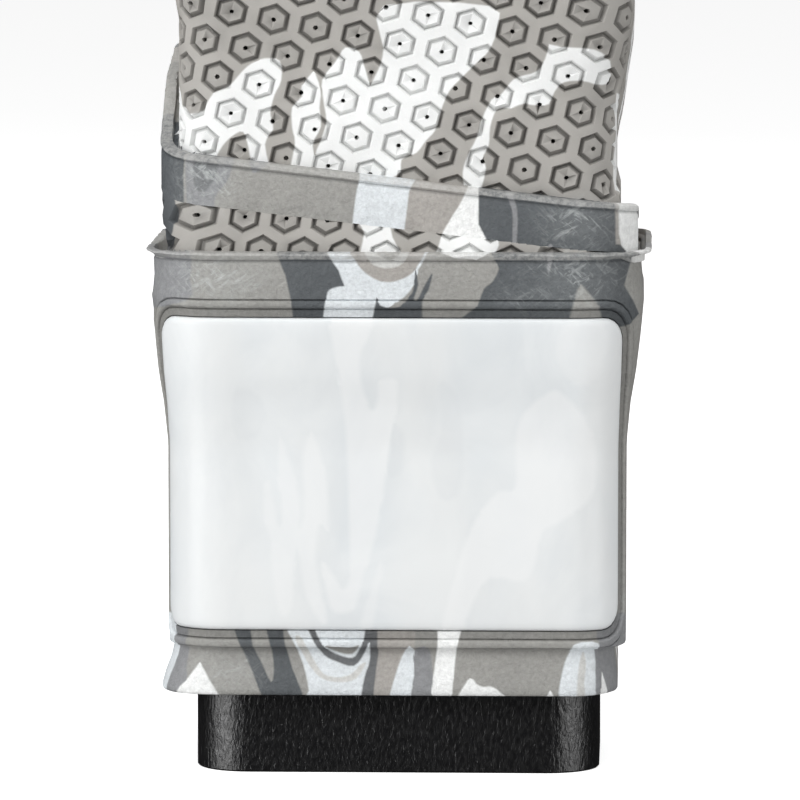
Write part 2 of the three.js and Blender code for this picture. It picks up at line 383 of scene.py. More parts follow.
def from_skin(t, v):
    """The inverse of along_skin."""
    size = np.abs(t)
    stretch = 1 + np.interp(v, *columns(BLOCK_LEVELS)) / CORNER
    corner = np.clip(size - FLAT_X, 0, ARC * stretch)
    rest = np.maximum(size - FLAT_X - ARC * stretch, 0)
    return np.sign(t) * (np.minimum(size, FLAT_X) + corner / stretch + rest)


def badge_distance(u, v):
    t = along_skin(u, v) - BADGE_SHIFT
    return rounded_distance(t, v - BADGE_MIDDLE, BADGE_HALF, BADGE_TALL, BADGE_CORNER)


def badge_loop(distance):
    """The badge's outline, grown by distance."""
    sizes = (BADGE_HALF + distance, BADGE_TALL + distance, BADGE_CORNER + distance)
    t, v = rounded_loop(BADGE_SHIFT, BADGE_MIDDLE, *sizes).T
    return np.stack([from_skin(t, v), v], 1)


PANEL_MIDDLE = (PANEL_LOW + PANEL_HIGH) / 2
PANEL_TALL = (PANEL_HIGH - PANEL_LOW) / 2
PANEL_HALF = BACK - PANEL_EDGE


def panel_distance(u, v):
    w = np.mod(u, AROUND) - BACK
    return rounded_distance(w, v - PANEL_MIDDLE, PANEL_HALF, PANEL_TALL, PANEL_CORNER)


# ---- The skin as a height over the unrolled plane ----


def smooth_step(x):
    """0 up to 0, 1 from 1 on, and a smooth rise between."""
    x = np.clip(x, 0, 1)
    return x * x * (3 - 2 * x)


def from_front(u):
    """Distance round the skin from the middle of the front, negative to the left."""
    return np.mod(u + BACK, AROUND) - BACK


def opening(u):
    """How far the crevices behind the collar and the ledge are open: 0 in front, 1 round the sides."""
    return smooth_step((np.abs(from_front(u)) - CREVICE_FROM) / (CREVICE_FULL - CREVICE_FROM))


def zones(v):
    """Masks of the points in the block, in the field above it, and in the knob."""
    block = v < COLLAR_TOP + LIP_SHARE * STEP
    knob = v > KNOB_START - STEP / 2
    return block, ~block & ~knob, knob


def celled(u, v):
    """Where the skin carries cells: short of every edge by most of a step or more."""
    block, field, _ = zones(v)
    s, d = on_ribbon(u, v)
    clear = (d > SMOOTH_BAND + STEP) & (v > ledge_height(s + AROUND) + LIP_SHARE * STEP)
    return (block & (panel_distance(u, v) < -STEP)) | (field & clear)


def lip(shape, share, outer, inner, open_share):
    """How far a lip stands out and how far it is raised, at a share of the step over its top."""
    at, way_in, height = columns(shape)
    way = np.interp(share, at, way_in)
    return outer + way * (inner - outer), open_share * np.interp(share, at, height)


def uneven(u, seed, pace=0.4):
    """A value from -1 to 1 that wanders with the distance round the skin."""
    count = round(AROUND / pace)
    table = np.random.default_rng(seed).uniform(-1, 1, count)
    return np.interp(np.mod(u, AROUND) / AROUND * count, np.arange(count + 1), np.append(table, table[0]))


SIDE_FROM = 13.0  # where round the skin the sides start to differ
SIDE_OVER = 3.5
RIM_TALL = 0.41
UNEVEN_BAND = 4.2


def lopsided(u, v):
    """The moulding is not quite even: what its left and right sides have more or less of than the front."""
    w = from_front(u)
    from_back = BACK - SIDE_FROM - np.abs(w)
    side = smooth_step((np.abs(w) - SIDE_FROM) / SIDE_OVER) * smooth_step(from_back / SIDE_OVER)
    left, right = side * (w < 0), side * (w > 0)
    skirt = v < SKIRT_TOP - STEP / 2
    mouth_flare = smooth_step((SKIRT_TOP - v) / (SKIRT_TOP - MOUTH))
    face = smooth_step((v - COLLAR_TOP + 4.0) / 1.6) * (v < COLLAR_TOP - RIM_TALL)
    rim = (v > COLLAR_TOP - RIM_TALL) & (v < COLLAR_TOP + LIP_SHARE * STEP)
    _, field, _ = zones(v)
    band = field & (v < COLLAR_TOP + UNEVEN_BAND) & (w > 0)
    grow = skirt * (left * (0.2 + 0.6 * mouth_flare) - right * 0.35)
    return grow - face * 0.32 * (left + right) + rim * right * 0.2 + band * right * 0.3


def plain_skin(v, d, block, field, knob):
    """How far the skin stands out before its lips, rims and details are shaped."""
    base = np.where(block, np.interp(v, *columns(BLOCK_LEVELS)), 0.0)
    base = np.where(knob, np.interp(v, *columns(KNOB_LEVELS)), base)
    return np.where(field, np.interp(d, *columns(BAND_PROFILE)), base)


def sunk_detail(u, v, s, d, block):
    """The height of the frame round the badge and of the cells, against the skin they are sunk in."""
    around_badge = badge_distance(u, v)
    distances, depths = columns(FRAME_PROFILE)
    framed = block & (np.abs(u) < BACK / 2) & (around_badge < distances[-1])
    detail = np.where(framed, np.interp(around_badge, distances, depths), 0.0)
    along, down = to_lattice(s, d)
    x = np.where(block, np.mod(u, AROUND) - BACK, along)
    y = np.where(block, (PANEL_HIGH - v - PANEL_ROW) / SQUASH, down)
    return np.where(celled(u, v), cell_depth(x, y), detail)


def skin(u, v):
    """How far the skin stands out, how much of that is a sunk detail, and how far it is raised."""
    block, field, knob = zones(v)
    s, d = on_ribbon(u, v)
    over_ledge = (v - ledge_height(s + AROUND)) / STEP
    over_collar = (v - COLLAR_TOP) / STEP
    taper = np.interp(d, *columns(BAND_PROFILE))
    base = plain_skin(v, d, block, field, knob)
    rise = np.zeros_like(u)
    lips = (
        (COLLAR_LIP, over_collar, BLOCK_LEVELS[-1][1], block & (over_collar >= 0)),
        (LEDGE_LIP, over_ledge, BAND_PROFILE[0][1], field & (over_ledge >= 0) & (over_ledge < 1)),
    )
    for shape, share, outer, here in lips:
        grow, height = lip(shape, share, outer, taper, opening(u))
        base = np.where(here, grow, base)
        rise = np.where(here, height, rise)
    rims = (
        ((v > COLLAR_TOP - 0.3) & (over_collar < 0.3), 0.05),
        (field & ((d < 0.3) | ((over_ledge > 0) & (over_ledge < 0.4))), 0.03),
    )
    for here, size in rims:
        base += here * size * uneven(u, 5)
        rise += here * size * uneven(u, 9)
    base += lopsided(u, v)
    detail = sunk_detail(u, v, s, d, block)
    return base + detail, detail, rise


# ---- Marbling: patches of colour with sharp edges ----


def rgb(code):
    """A web colour as linear values."""
    values = [int(code[i : i + 2], 16) / 255 for i in (1, 3, 5)]
    return [v / 12.92 if v < 0.04045 else ((v + 0.055) / 1.055) ** 2.4 for v in values]


TONES = {
    "white": rgb("#f2f3f2"),
    "cool": rgb("#dfe4e7"),
    "pale": rgb("#cfcfcc"),
    "grey": rgb("#9d9c98"),
    "warm": rgb("#aaa6a1"),
    "web": rgb("#aeaba6"),
    "mid": rgb("#8f9092"),
    "line": rgb("#6d6f71"),
    "dark": rgb("#5c6063"),
}


def across(x, grow):
    """Distance across the front view to distance round the skin."""
    radius = CORNER + grow
    size = np.abs(x)
    turn = np.arcsin(np.clip((size - FLAT_X) / radius, 0, 1))
    beyond = np.maximum(size - FLAT_X - radius, 0)
    return np.sign(x) * (np.minimum(size, FLAT_X) + CORNER * turn + beyond)


# Patches on the front, as (tone, outline): millimetres across the front, and up from a mouth at 5.6.
# A repeated point makes a sharp tip.
FRONT_RAISED = MOUTH - 5.6
FRONT_EDGE = 18.6  # the front's own patches end here, round the skin
FRONT_TOP = 57.5  # and at this height
# How far each part of the skin stands out, for wrapping the front view onto it
FIELD_OUT = 0.0
BAND_OUT = 1.3
COLLAR_OUT = 2.2
SKIRT_OUT = 0.5
FIELD_PATCHES = [
    ("white", [(-0.85, 56.5), (6.9, 56.5), (7.3, 54.6), (6.8, 53.2), (5.9, 52.3), (5.0, 51.4), (3.9, 50.2),
               (3.3, 48.8), (2.9, 47.4), (2.2, 46.6), (1.5, 45.7), (0.4, 45.2), (-0.2, 43.9), (-6.0, 43.9),
               (-5.9, 45.6), (-5.5, 46.6), (-5.1, 48.0), (-5.3, 49.5), (-5.4, 51.0), (-4.4, 52.4),
               (-3.7, 53.4), (-2.7, 53.1), (-2.3, 52.0), (-1.9, 50.6), (-1.9, 50.6), (-1.2, 52.0),
               (-0.9, 53.4)]),
    ("white", [(-6.0, 51.7), (-6.0, 51.7), (-6.9, 50.6), (-6.9, 49.8), (-7.6, 49.0), (-7.6, 47.5),
               (-7.4, 46.4), (-7.7, 43.9), (-5.8, 43.9), (-6.1, 46.2), (-5.5, 47.6), (-5.6, 49.0),
               (-5.5, 50.3)]),
    ("white", [(-9.6, 52.6), (-8.5, 52.4), (-8.4, 51.0), (-8.9, 49.9), (-9.2, 48.6), (-9.0, 47.4),
               (-9.6, 46.3), (-9.2, 43.9), (-10.4, 43.9), (-10.8, 46.0), (-11.2, 47.2), (-12.0, 46.9),
               (-12.7, 46.2), (-13.4, 45.2), (-15.0, 44.6), (-16.8, 45.4), (-17.2, 48.0), (-16.6, 50.2),
               (-16.0, 50.2), (-15.6, 48.6), (-14.3, 48.7), (-13.4, 50.0), (-12.2, 50.6), (-11.3, 51.6),
               (-10.6, 52.2)]),
    ("white", [(11.2, 53.7), (11.2, 53.7), (12.3, 53.5), (14.2, 53.3), (15.2, 52.4), (15.3, 50.9),
               (14.6, 50.7), (13.6, 51.0), (12.3, 50.9), (11.6, 50.2), (11.2, 49.3), (10.2, 49.2),
               (9.3, 49.3), (8.4, 49.0), (7.4, 48.9), (6.9, 47.6), (6.8, 46.3), (6.3, 45.2), (6.6, 44.6),
               (6.0, 42.5), (5.1, 42.8), (4.9, 44.3), (5.3, 45.6), (5.9, 46.8), (6.3, 48.2), (7.0, 49.6),
               (7.7, 50.0), (8.4, 50.9), (9.0, 51.3), (10.3, 51.7), (10.9, 52.6)]),
    ("white", [(15.9, 50.0), (15.9, 50.0), (16.1, 47.0), (15.9, 44.2), (16.2, 42.5), (17.3, 43.5),
               (17.6, 46.5), (17.0, 49.0)]),
    ("white", [(-3.1, 42.5), (-2.9, 41.0), (-2.3, 39.9), (-2.4, 38.0), (0.4, 38.0), (-0.2, 39.6),
               (-0.4, 41.0), (-0.2, 42.5)]),
    ("white", [(3.4, 41.5), (3.5, 40.0), (3.2, 38.0), (7.2, 38.0), (7.0, 41.5)]),
    ("dark", [(-18.5, 43.0), (-15.6, 42.6), (-15.3, 40.8), (-16.2, 38.0), (-18.5, 38.0)]),
]
BAND_PATCHES = [
    ("dark", [(-19.5, 48.5), (-15.8, 48.0), (-15.6, 44.0), (-15.9, 40.0), (-19.5, 40.0)]),
    ("mid", [(-15.1, 47.0), (-11.8, 47.0), (-12.0, 44.5), (-12.5, 43.4), (-13.2, 42.5), (-13.4, 40.5),
             (-15.1, 40.5)]),
    ("line", [(-14.6, 47.0), (-12.9, 46.5), (-13.1, 44.2), (-14.0, 42.9), (-14.8, 43.6)]),
    ("mid", [(-10.6, 45.4), (-8.9, 45.3), (-8.9, 45.3), (-10.2, 44.3), (-10.5, 44.5)]),
    ("cool", [(-2.55, 46.5), (-2.6, 44.0), (-2.9, 42.5), (-2.9, 39.0), (0.8, 39.0), (0.9, 42.0), (1.1, 43.2),
              (1.7, 44.2), (1.9, 46.0)]),
    ("warm", [(1.9, 46.0), (1.7, 44.2), (1.1, 43.2), (0.9, 42.0), (0.8, 39.0), (3.2, 39.0), (3.9, 40.7),
              (4.7, 42.0), (5.4, 43.5), (5.8, 45.0)]),
    ("white", [(5.8, 45.0), (5.4, 43.5), (4.7, 42.0), (3.9, 40.7), (3.2, 38.6), (7.1, 38.6), (7.1, 45.0)]),
    ("dark", [(7.1, 45.0), (7.1, 38.6), (16.2, 38.2), (16.2, 44.0)]),
    ("mid", [(7.7, 43.7), (8.0, 43.7), (8.7, 42.4), (8.95, 41.0), (8.8, 38.4), (8.5, 38.4), (8.6, 41.0),
             (8.3, 42.3)]),
    ("warm", [(16.0, 43.5), (16.0, 38.2), (16.5, 38.2), (16.5, 43.5)]),
    ("white", [(16.4, 43.5), (16.4, 38.2), (18.4, 38.2), (18.6, 43.0)]),
    ("mid", [(18.6, 43.0), (18.4, 38.2), (22.0, 38.0), (21.4, 42.0)]),
]
COLLAR_PATCHES = [
    ("mid", [(-21.0, 39.0), (-15.4, 39.0), (-15.1, 36.5), (-15.4, 34.9), (-21.0, 34.0)]),
    ("dark", [(-8.45, 39.0), (-4.6, 39.0), (-4.1, 37.2), (-3.7, 36.1), (-3.7, 36.1), (-4.6, 35.9),
              (-5.0, 35.3), (-5.0, 33.0), (-7.2, 33.0), (-7.6, 35.0), (-8.0, 36.8)]),
    ("cool", [(-4.6, 39.0), (-4.1, 37.2), (-3.7, 36.1), (-3.7, 36.1), (-4.6, 35.9), (-5.0, 35.3),
              (-5.0, 33.0), (-1.4, 33.0), (-0.6, 34.4), (0.6, 35.2), (1.4, 36.2), (1.7, 37.3), (2.0, 39.0)]),
    ("warm", [(-3.1, 39.2), (-2.9, 38.0), (-2.2, 37.1), (-1.2, 36.5), (-0.2, 36.4), (0.9, 36.8), (1.6, 37.5),
              (2.0, 39.2)]),
    ("pale", [(-2.3, 39.2), (-2.1, 38.3), (-1.5, 37.6), (-0.4, 37.4), (0.6, 37.8), (1.0, 39.2)]),
    ("grey", [(-1.5, 39.2), (-1.3, 38.5), (-0.4, 38.0), (0.3, 38.4), (0.6, 39.2)]),
    ("dark", [(-1.3, 35.3), (-1.3, 35.3), (-1.1, 34.7), (-0.4, 34.5), (0.4, 34.6), (1.2, 35.5), (1.4, 36.2),
              (1.5, 37.3), (1.5, 37.3), (1.7, 36.2), (1.4, 35.2), (1.6, 35.0), (2.2, 36.2), (2.8, 37.2),
              (2.8, 37.2), (2.5, 35.9), (2.0, 35.0), (1.7, 33.0), (-1.45, 33.0)]),
    ("cool", [(-1.0, 35.2), (-1.0, 34.9), (-0.2, 34.8), (0.3, 35.2), (0.8, 36.0), (0.0, 35.7)]),
    ("dark", [(7.75, 39.0), (7.6, 37.4), (7.1, 36.4), (6.5, 35.9), (6.0, 34.6), (5.1, 33.0), (17.2, 33.0),
              (17.0, 36.0), (16.9, 39.0)]),
    ("mid", [(11.2, 39.0), (11.5, 39.0), (11.5, 38.0), (11.2, 37.0), (11.15, 37.8)]),
    ("grey", [(13.5, 36.4), (13.5, 36.4), (14.2, 35.6), (15.0, 34.5), (15.2, 33.0), (12.8, 33.0),
              (13.0, 34.6)]),
]
SKIRT_PATCHES = [
    ("cool", [(-17.4, 11.0), (-16.2, 11.0), (-16.1, 9.0), (-16.2, 7.0), (-16.3, 5.2), (-18.0, 5.2),
              (-17.6, 8.0)]),
    ("mid", [(-16.2, 11.0), (-15.3, 11.0), (-15.4, 8.0), (-15.2, 6.6), (-15.8, 5.2), (-16.3, 5.2),
             (-16.2, 7.0), (-16.1, 9.0)]),
    ("white", [(-14.5, 8.0), (-14.5, 8.0), (-15.1, 6.9), (-15.7, 5.2), (-13.1, 5.2), (-13.8, 6.8)]),
    ("dark", [(-12.0, 11.0), (-10.9, 11.0), (-10.5, 9.2), (-9.9, 8.0), (-9.2, 6.6), (-9.0, 7.6),
              (-9.2, 9.2), (-9.6, 11.0), (-8.5, 11.0), (-8.1, 9.2), (-7.6, 7.5), (-6.9, 5.2), (-9.5, 5.2),
              (-10.6, 7.4), (-11.4, 9.2)]),
    ("cool", [(-7.7, 11.0), (-7.4, 9.4), (-6.8, 7.8), (-6.4, 6.0), (-6.6, 5.2), (-2.5, 5.2), (-2.3, 7.0),
              (-1.9, 8.4), (-1.9, 11.0)]),
    ("pale", [(-7.4, 9.9), (-6.6, 8.2), (-5.5, 6.9), (-4.0, 6.6), (-2.9, 6.9), (-2.2, 8.0), (-2.6, 7.9),
              (-3.3, 7.2), (-4.2, 7.0), (-5.3, 7.2), (-6.2, 8.5), (-6.9, 9.9)]),
    ("line", [(-6.6, 11.0), (-6.1, 9.8), (-5.3, 8.6), (-4.3, 8.1), (-3.1, 7.8), (-2.3, 8.8), (-1.9, 10.0),
              (-1.9, 11.0), (-2.2, 11.0), (-2.3, 10.0), (-2.7, 9.0), (-3.2, 8.4), (-4.2, 8.6), (-5.1, 9.1),
              (-5.8, 10.1), (-6.2, 11.0)]),
    ("grey", [(-5.2, 9.3), (-4.2, 8.8), (-3.2, 8.7), (-2.7, 9.4), (-3.4, 9.2), (-4.3, 9.3)]),
    ("line", [(-1.9, 11.0), (-1.15, 11.0), (-1.3, 8.6), (-1.5, 7.0), (-1.4, 5.2), (-2.5, 5.2), (-2.3, 7.0),
              (-1.9, 8.3)]),
    ("warm", [(-1.15, 11.0), (1.2, 11.0), (1.4, 8.5), (1.3, 5.2), (-1.4, 5.2), (-1.5, 7.0), (-1.3, 8.6)]),
    ("cool", [(1.0, 9.4), (1.0, 9.4), (1.4, 8.9), (1.35, 7.2), (1.2, 5.2), (-0.4, 5.2), (0.0, 7.2),
              (0.5, 8.6)]),
    ("mid", [(1.4, 9.0), (1.35, 7.2), (1.2, 5.2), (2.6, 5.2), (2.7, 7.5), (2.4, 9.2)]),
    ("white", [(3.2, 11.0), (4.8, 11.0), (4.5, 9.2), (4.3, 7.5), (4.0, 5.2), (2.7, 5.2), (2.9, 8.0),
               (3.1, 9.5)]),
    ("white", [(4.7, 5.2), (5.2, 6.6), (5.6, 6.95), (6.0, 6.5), (6.5, 6.3), (7.0, 6.35), (7.6, 6.0),
               (8.2, 5.2)]),
    ("white", [(11.0, 5.2), (11.4, 6.1), (11.4, 6.1), (11.8, 5.2)]),
    ("cool", [(12.2, 5.2), (12.3, 7.5), (12.8, 8.9), (13.3, 9.6), (14.7, 9.6), (14.9, 8.2), (15.0, 5.2)]),
    ("pale", [(13.4, 5.2), (13.4, 6.8), (13.6, 8.2), (13.9, 8.9), (14.1, 8.0), (13.9, 6.5), (14.0, 5.2)]),
    ("mid", [(14.9, 11.0), (14.9, 8.2), (15.0, 5.2), (17.6, 5.2), (17.2, 11.0)]),
    ("white", [(15.4, 7.3), (15.4, 7.3), (15.2, 5.2), (15.9, 5.2)]),
]


def flame(draw, u, v, length, width):
    """The outline of a wavering flame, pointed at both ends."""
    steps = 7
    lean, bend = draw.uniform(-0.25, 0.25) * length, draw.uniform(-0.6, 0.6) * width
    sides = ([], [])
    for i in range(1, steps):
        t = i / steps
        middle = u + lean * (t - 0.5) + bend * math.sin(2 * math.pi * t)
        for side, points in zip((-1, 1), sides):
            half = width / 2 * math.sin(math.pi * t) ** 0.8 * draw.uniform(0.7, 1.25)
            points.append((middle + side * half, v + length * (t - 0.5)))
    tip = (u + lean / 2, v + length / 2)
    foot = (u - lean / 2, v - length / 2)
    return [foot, foot] + sides[1] + [tip, tip] + sides[0][::-1]


def scattered(draw, tones, count, lengths, widths):
    """Flames all over the sleeve, clear of the front's own patches."""
    found = []
    while len(found) < count:
        u, v = draw.uniform(-BACK, BACK), draw.uniform(MOUTH, BUTT)
        length, width = draw.uniform(*lengths), draw.uniform(*widths)
        tone = draw.choice(tones)
        outline = flame(draw, u, v, length, width)
        corner = min(abs(x) for x, _ in outline), min(y for _, y in outline)
        if corner[0] < FRONT_EDGE and corner[1] < FRONT_TOP:
            continue
        for shift in (-AROUND, 0, AROUND):
            moved = [(x + shift, y) for x, y in outline]
            if max(x for x, _ in moved) > -BACK - 1 and min(x for x, _ in moved) < BACK + 1:
                found.append((tone, moved))
    return found


def smooth_outline(points, steps=3):
    """A closed curve through the points. A repeated point is a corner."""
    fine = []
    count = len(points)
    p = np.array(points, float)
    for i in range(count):
        a, b, c, d = p[i - 1], p[i], p[(i + 1) % count], p[(i + 2) % count]
        if np.allclose(b, c):
            continue
        square, cube = 2 * a - 5 * b + 4 * c - d, 3 * b - a - 3 * c + d
        for t in np.arange(steps) / steps:
            fine.append(0.5 * (2 * b + (c - a) * t + square * t**2 + cube * t**3))
    return np.array(fine)


def front_patches(patches, grow):
    """Patches of the front view, wrapped onto the skin."""
    wrapped = []
    for tone, points in patches:
        outline = smooth_outline(points)
        wrapped.append((tone, np.stack([across(outline[:, 0], grow), outline[:, 1] + FRONT_RAISED], 1)))
    return wrapped


def all_patches():
    """(patches where there are cells, patches on the plain skin), each in painting order."""
    draw = random.Random(7)
    celled_ones = scattered(draw, ["white"], count=62, lengths=(12, 27), widths=(3, 8))
    tones = ["dark", "cool", "mid", "white", "dark", "warm"]
    plain_ones = scattered(draw, tones, count=84, lengths=(7, 24), widths=(2.5, 8))
    celled_ones = [(tone, smooth_outline(points)) for tone, points in celled_ones]
    plain_ones = [(tone, smooth_outline(points)) for tone, points in plain_ones]
    celled_ones += front_patches(FIELD_PATCHES, FIELD_OUT)
    plain_ones += front_patches(BAND_PATCHES, BAND_OUT)
    plain_ones += front_patches(COLLAR_PATCHES, COLLAR_OUT)
    plain_ones += front_patches(SKIRT_PATCHES, SKIRT_OUT)
    return celled_ones, plain_ones


CELLED_PATCHES, PLAIN_PATCHES = all_patches()
PATCH_FADE = 0.07  # half the width over which a patch's edge fades


def moved_out(outline, distance):
    """A closed outline moved along its normals."""
    along = np.roll(outline, -1, 0) - np.roll(outline, 1, 0)
    normal = np.stack([along[:, 1], -along[:, 0]], 1) / (np.hypot(*along.T)[:, None] + 1e-9)
    area = (outline[:, 0] * np.roll(outline[:, 1], -1) - outline[:, 1] * np.roll(outline[:, 0], -1)).sum()
    return outline + normal * distance * (1 if area > 0 else -1)


def add_patches(net):
    """Two lines along the edge of every patch, between which its colour fades, each only where it shows."""
    for patches, wanted in ((CELLED_PATCHES, True), (PLAIN_PATCHES, False)):
        for _, outline in patches:
            for distance in (-PATCH_FADE, PATCH_FADE):
                add_patch_edge(net, moved_out(outline, distance), wanted)


def add_patch_edge(net, outline, wanted):
    index = np.arange(len(outline))
    edges = np.stack([index, (index + 1) % len(outline)], 1)
    shows = (celled(outline[:, 0], outline[:, 1]) == wanted) & (outline[:, 1] > MOUTH - 1)
    shows &= (outline[:, 1] < BUTT + 1) & (np.abs(outline[:, 0]) < REACH)
    edges = edges[shows[edges].any(1)]
    used, inverse = np.unique(edges, return_inverse=True)
    if len(used):
        net.add(outline[used], inverse.reshape(-1, 2))


def within(outline, u, v):
    """Which points lie inside a closed outline."""
    inside = np.zeros(len(u), bool)
    low_u, low_v = outline.min(0)
    high_u, high_v = outline.max(0)
    near = np.where((u > low_u) & (u < high_u) & (v > low_v) & (v < high_v))[0]
    x, y = u[near], v[near]
    odd = np.zeros(len(near), bool)
    for (ax, ay), (bx, by) in zip(outline, np.roll(outline, -1, 0)):
        if ay != by:
            crosses = ((ay > y) != (by > y)) & (x < (bx - ax) * (y - ay) / (by - ay) + ax)
            odd ^= crosses
    inside[near] = odd
    return inside


def corner_tones(flat, faces, cells):
    """The colour of each corner of each face. It depends on the point and on whether the face has cells."""
    u, v = flat.T
    tones = []
    for patches, ground in ((PLAIN_PATCHES, "grey"), (CELLED_PATCHES, "web")):
        painted = np.tile(TONES[ground], (len(flat), 1))
        for tone, outline in patches:
            painted[within(outline, u, v)] = TONES[tone]
        tones.append(painted)
    return np.where(cells[:, None, None], tones[1][faces], tones[0][faces]).reshape(-1, 3)


# ---- Lines that the skin's mesh must follow ----


class Net:
    """Points and edges of the unrolled plane, to be triangulated."""

    def __init__(self):
        self.points = []
        self.edges = []
        self.count = 0

    def add(self, points, edges):
        self.points.append(points)
        self.edges.append(edges + self.count)
        self.count += len(points)

    def line(self, points):
        index = np.arange(len(points) - 1)
        self.add(points, np.stack([index, index + 1], 1))

    def loop(self, points):
        index = np.arange(len(points))
        self.add(points, np.stack([index, (index + 1) % len(points)], 1))

    def scatter(self, points):
        self.add(points, np.zeros((0, 2), int))

    def triangulate(self):
        points = np.concatenate(self.points)
        edges = np.concatenate(self.edges)
        result = delaunay_2d_cdt(points.tolist(), edges.tolist(), [], 0, 1e-5)
        return np.array([tuple(p) for p in result[0]]), np.array(result[2])


def level(v):
    return np.stack([ROUND_WIDE, np.full_like(ROUND_WIDE, v)], 1)


def fine_level(v):
    return np.stack([FINE_WIDE, np.full_like(FINE_WIDE, v)], 1)


def add_levels(net):
    for v, _ in BLOCK_LEVELS + KNOB_LEVELS:
        if not MOUTH + 6 < v < COLLAR_TOP - 4:
            rim = COLLAR_TOP - 0.5 < v < KNOB_START - 1
            net.line(fine_level(v) if rim else level(v))
    for share, _, _ in COLLAR_LIP[1:]:
        net.line(fine_level(COLLAR_TOP + share * STEP))
    net.line(level(KNOB_START - STEP))
    for v in (BADGE_HIGH + 1.6, COLLAR_TOP - 2.0):
        net.line(level(v))
    front = ROUND[np.abs(ROUND) < PANEL_EDGE - 0.2]
    for v in np.arange(BADGE_LOW + 1, BADGE_HIGH, 1.2):
        net.scatter(np.stack([front, np.full_like(front, v)], 1))


def add_frame(net):
    for distance, _ in FRAME_PROFILE:
        net.loop(badge_loop(distance))
    for distance in (0.0, -2 * STEP):
        sizes = (PANEL_HALF + distance, PANEL_TALL + distance, PANEL_CORNER + distance)
        for middle in (-BACK, BACK):
            net.loop(rounded_loop(middle, PANEL_MIDDLE, *sizes))


def add_ledges(net):
    """The ledge line of every turn, with the lines beside it."""
    for turn in range(1 - TURNS, 1):
        top = ledge_height(ROUND_WIDE + turn * AROUND)
        if top.min() > BUTT:
            continue
        offsets = [-share * STEP for share, _, _ in LEDGE_LIP[1:]] + [d for d, _ in BAND_BEAD]
        for offset in offsets + [SMOOTH_BAND, SMOOTH_BAND + 2 * STEP]:
            u = FINE_WIDE if -0.02 < offset < 0.3 else ROUND_WIDE
            v = ledge_height(u + turn * AROUND) - offset
            inside = (v > COLLAR_TOP - 0.3) & (v < KNOB_START + 0.3)
            for part in np.split(np.arange(len(v)), np.where(np.diff(inside.astype(int)))[0] + 1):
                if inside[part[0]] and len(part) > 1:
                    net.line(np.stack([u[part], v[part]], 1))
        middle = top - BAND_MIDDLE
        inside = (middle > COLLAR_TOP) & (middle < KNOB_START)
        net.scatter(np.stack([ROUND_WIDE[inside], middle[inside]], 1))


def clipped(u, v, edges, alive):
    """Points and edges of a pattern, with each edge that leaves the live area cut short at its limit."""
    live = alive(u, v)
    whole = edges[live[edges].all(1)]
    cut = edges[live[edges].any(1) & ~live[edges].all(1)]
    start = np.where(live[cut[:, 0]], cut[:, 0], cut[:, 1])
    stop = np.where(live[cut[:, 0]], cut[:, 1], cut[:, 0])
    reach, limit = np.zeros(len(cut)), np.ones(len(cut))
    for _ in range(16):
        share = (reach + limit) / 2
        here = alive(u[start] + (u[stop] - u[start]) * share, v[start] + (v[stop] - v[start]) * share)
        reach, limit = np.where(here, share, reach), np.where(here, limit, share)
    ends_u = u[start] + (u[stop] - u[start]) * limit
    ends_v = v[start] + (v[stop] - v[start]) * limit
    new = len(u) + np.arange(len(cut))
    edges = np.concatenate([whole, np.stack([start, new], 1)])
    points = np.stack([np.concatenate([u, ends_u]), np.concatenate([v, ends_v])], 1)
    used, inverse = np.unique(edges, return_inverse=True)
    return points[used], inverse.reshape(-1, 2)


def stray(centres, count):
    """How far each of the points round each cell strays: always the same for the same cell."""
    seed = centres[:, None, 0] * 12.9898 + centres[:, None, 1] * 78.233 + np.arange(count) * 37.719
    return CELL_WOBBLE * np.stack([np.sin(7919 * seed), np.cos(6271 * seed)], 2)


def add_rings(net, centres, unroll, alive):
    """Every ring of the cells at these lattice centres."""
    for ring in CELL_LOOPS:
        x, y = (centres[:, None] + ring[None] + stray(centres, len(ring))).reshape(-1, 2).T
        u, v = unroll(x, y)
        index = np.arange(len(u)).reshape(-1, len(ring))
        edges = np.stack([index, np.roll(index, -1, 1)], 2).reshape(-1, 2)
        edges = edges[(np.abs(u[edges]) < REACH).all(1)]
        points, edges = clipped(u, v, edges, alive)
        net.add(points, edges)


def add_field_cells(net):
    for turn in range(1 - TURNS, 1):
        shift = turn * AROUND
        ends = [shift - BACK - MARGIN, shift + BACK + MARGIN]
        low, high = np.interp(ends, LEDGE_ALONG, LEDGE_LENGTH)
        centres = cell_centres(low - PITCH, high + 2 * PITCH, FIELD_ABOVE, FIELD_BELOW / SQUASH)

        def unroll(x, y, shift=shift):
            s, d = from_lattice(x, y)
            return s - shift, ledge_height(s) - d

        def alive(u, v, shift=shift):
            s, _ = on_ribbon(u, v)
            return celled(u, v) & (v > COLLAR_TOP) & (np.abs(s - u - shift) < 1)

        add_rings(net, centres, unroll, alive)


def add_panel_cells(net):
    centres = cell_centres(-PANEL_HALF - 2, PANEL_HALF + 2, 0, 2 * PANEL_TALL / SQUASH)
    for middle in (-BACK, BACK):

        def unroll(x, y, middle=middle):
            return x + middle, PANEL_HIGH - PANEL_ROW - y * SQUASH

        def alive(u, v):
            return celled(u, v) & (v < COLLAR_TOP)

        add_rings(net, centres, unroll, alive)


def seams(net):
    for u in (-BACK, BACK):
        v = np.arange(MOUTH, BUTT + 0.5, 1.0)
        v[-1] = BUTT
        net.line(np.stack([np.full_like(v, u), v], 1))


# ---- Meshes ----


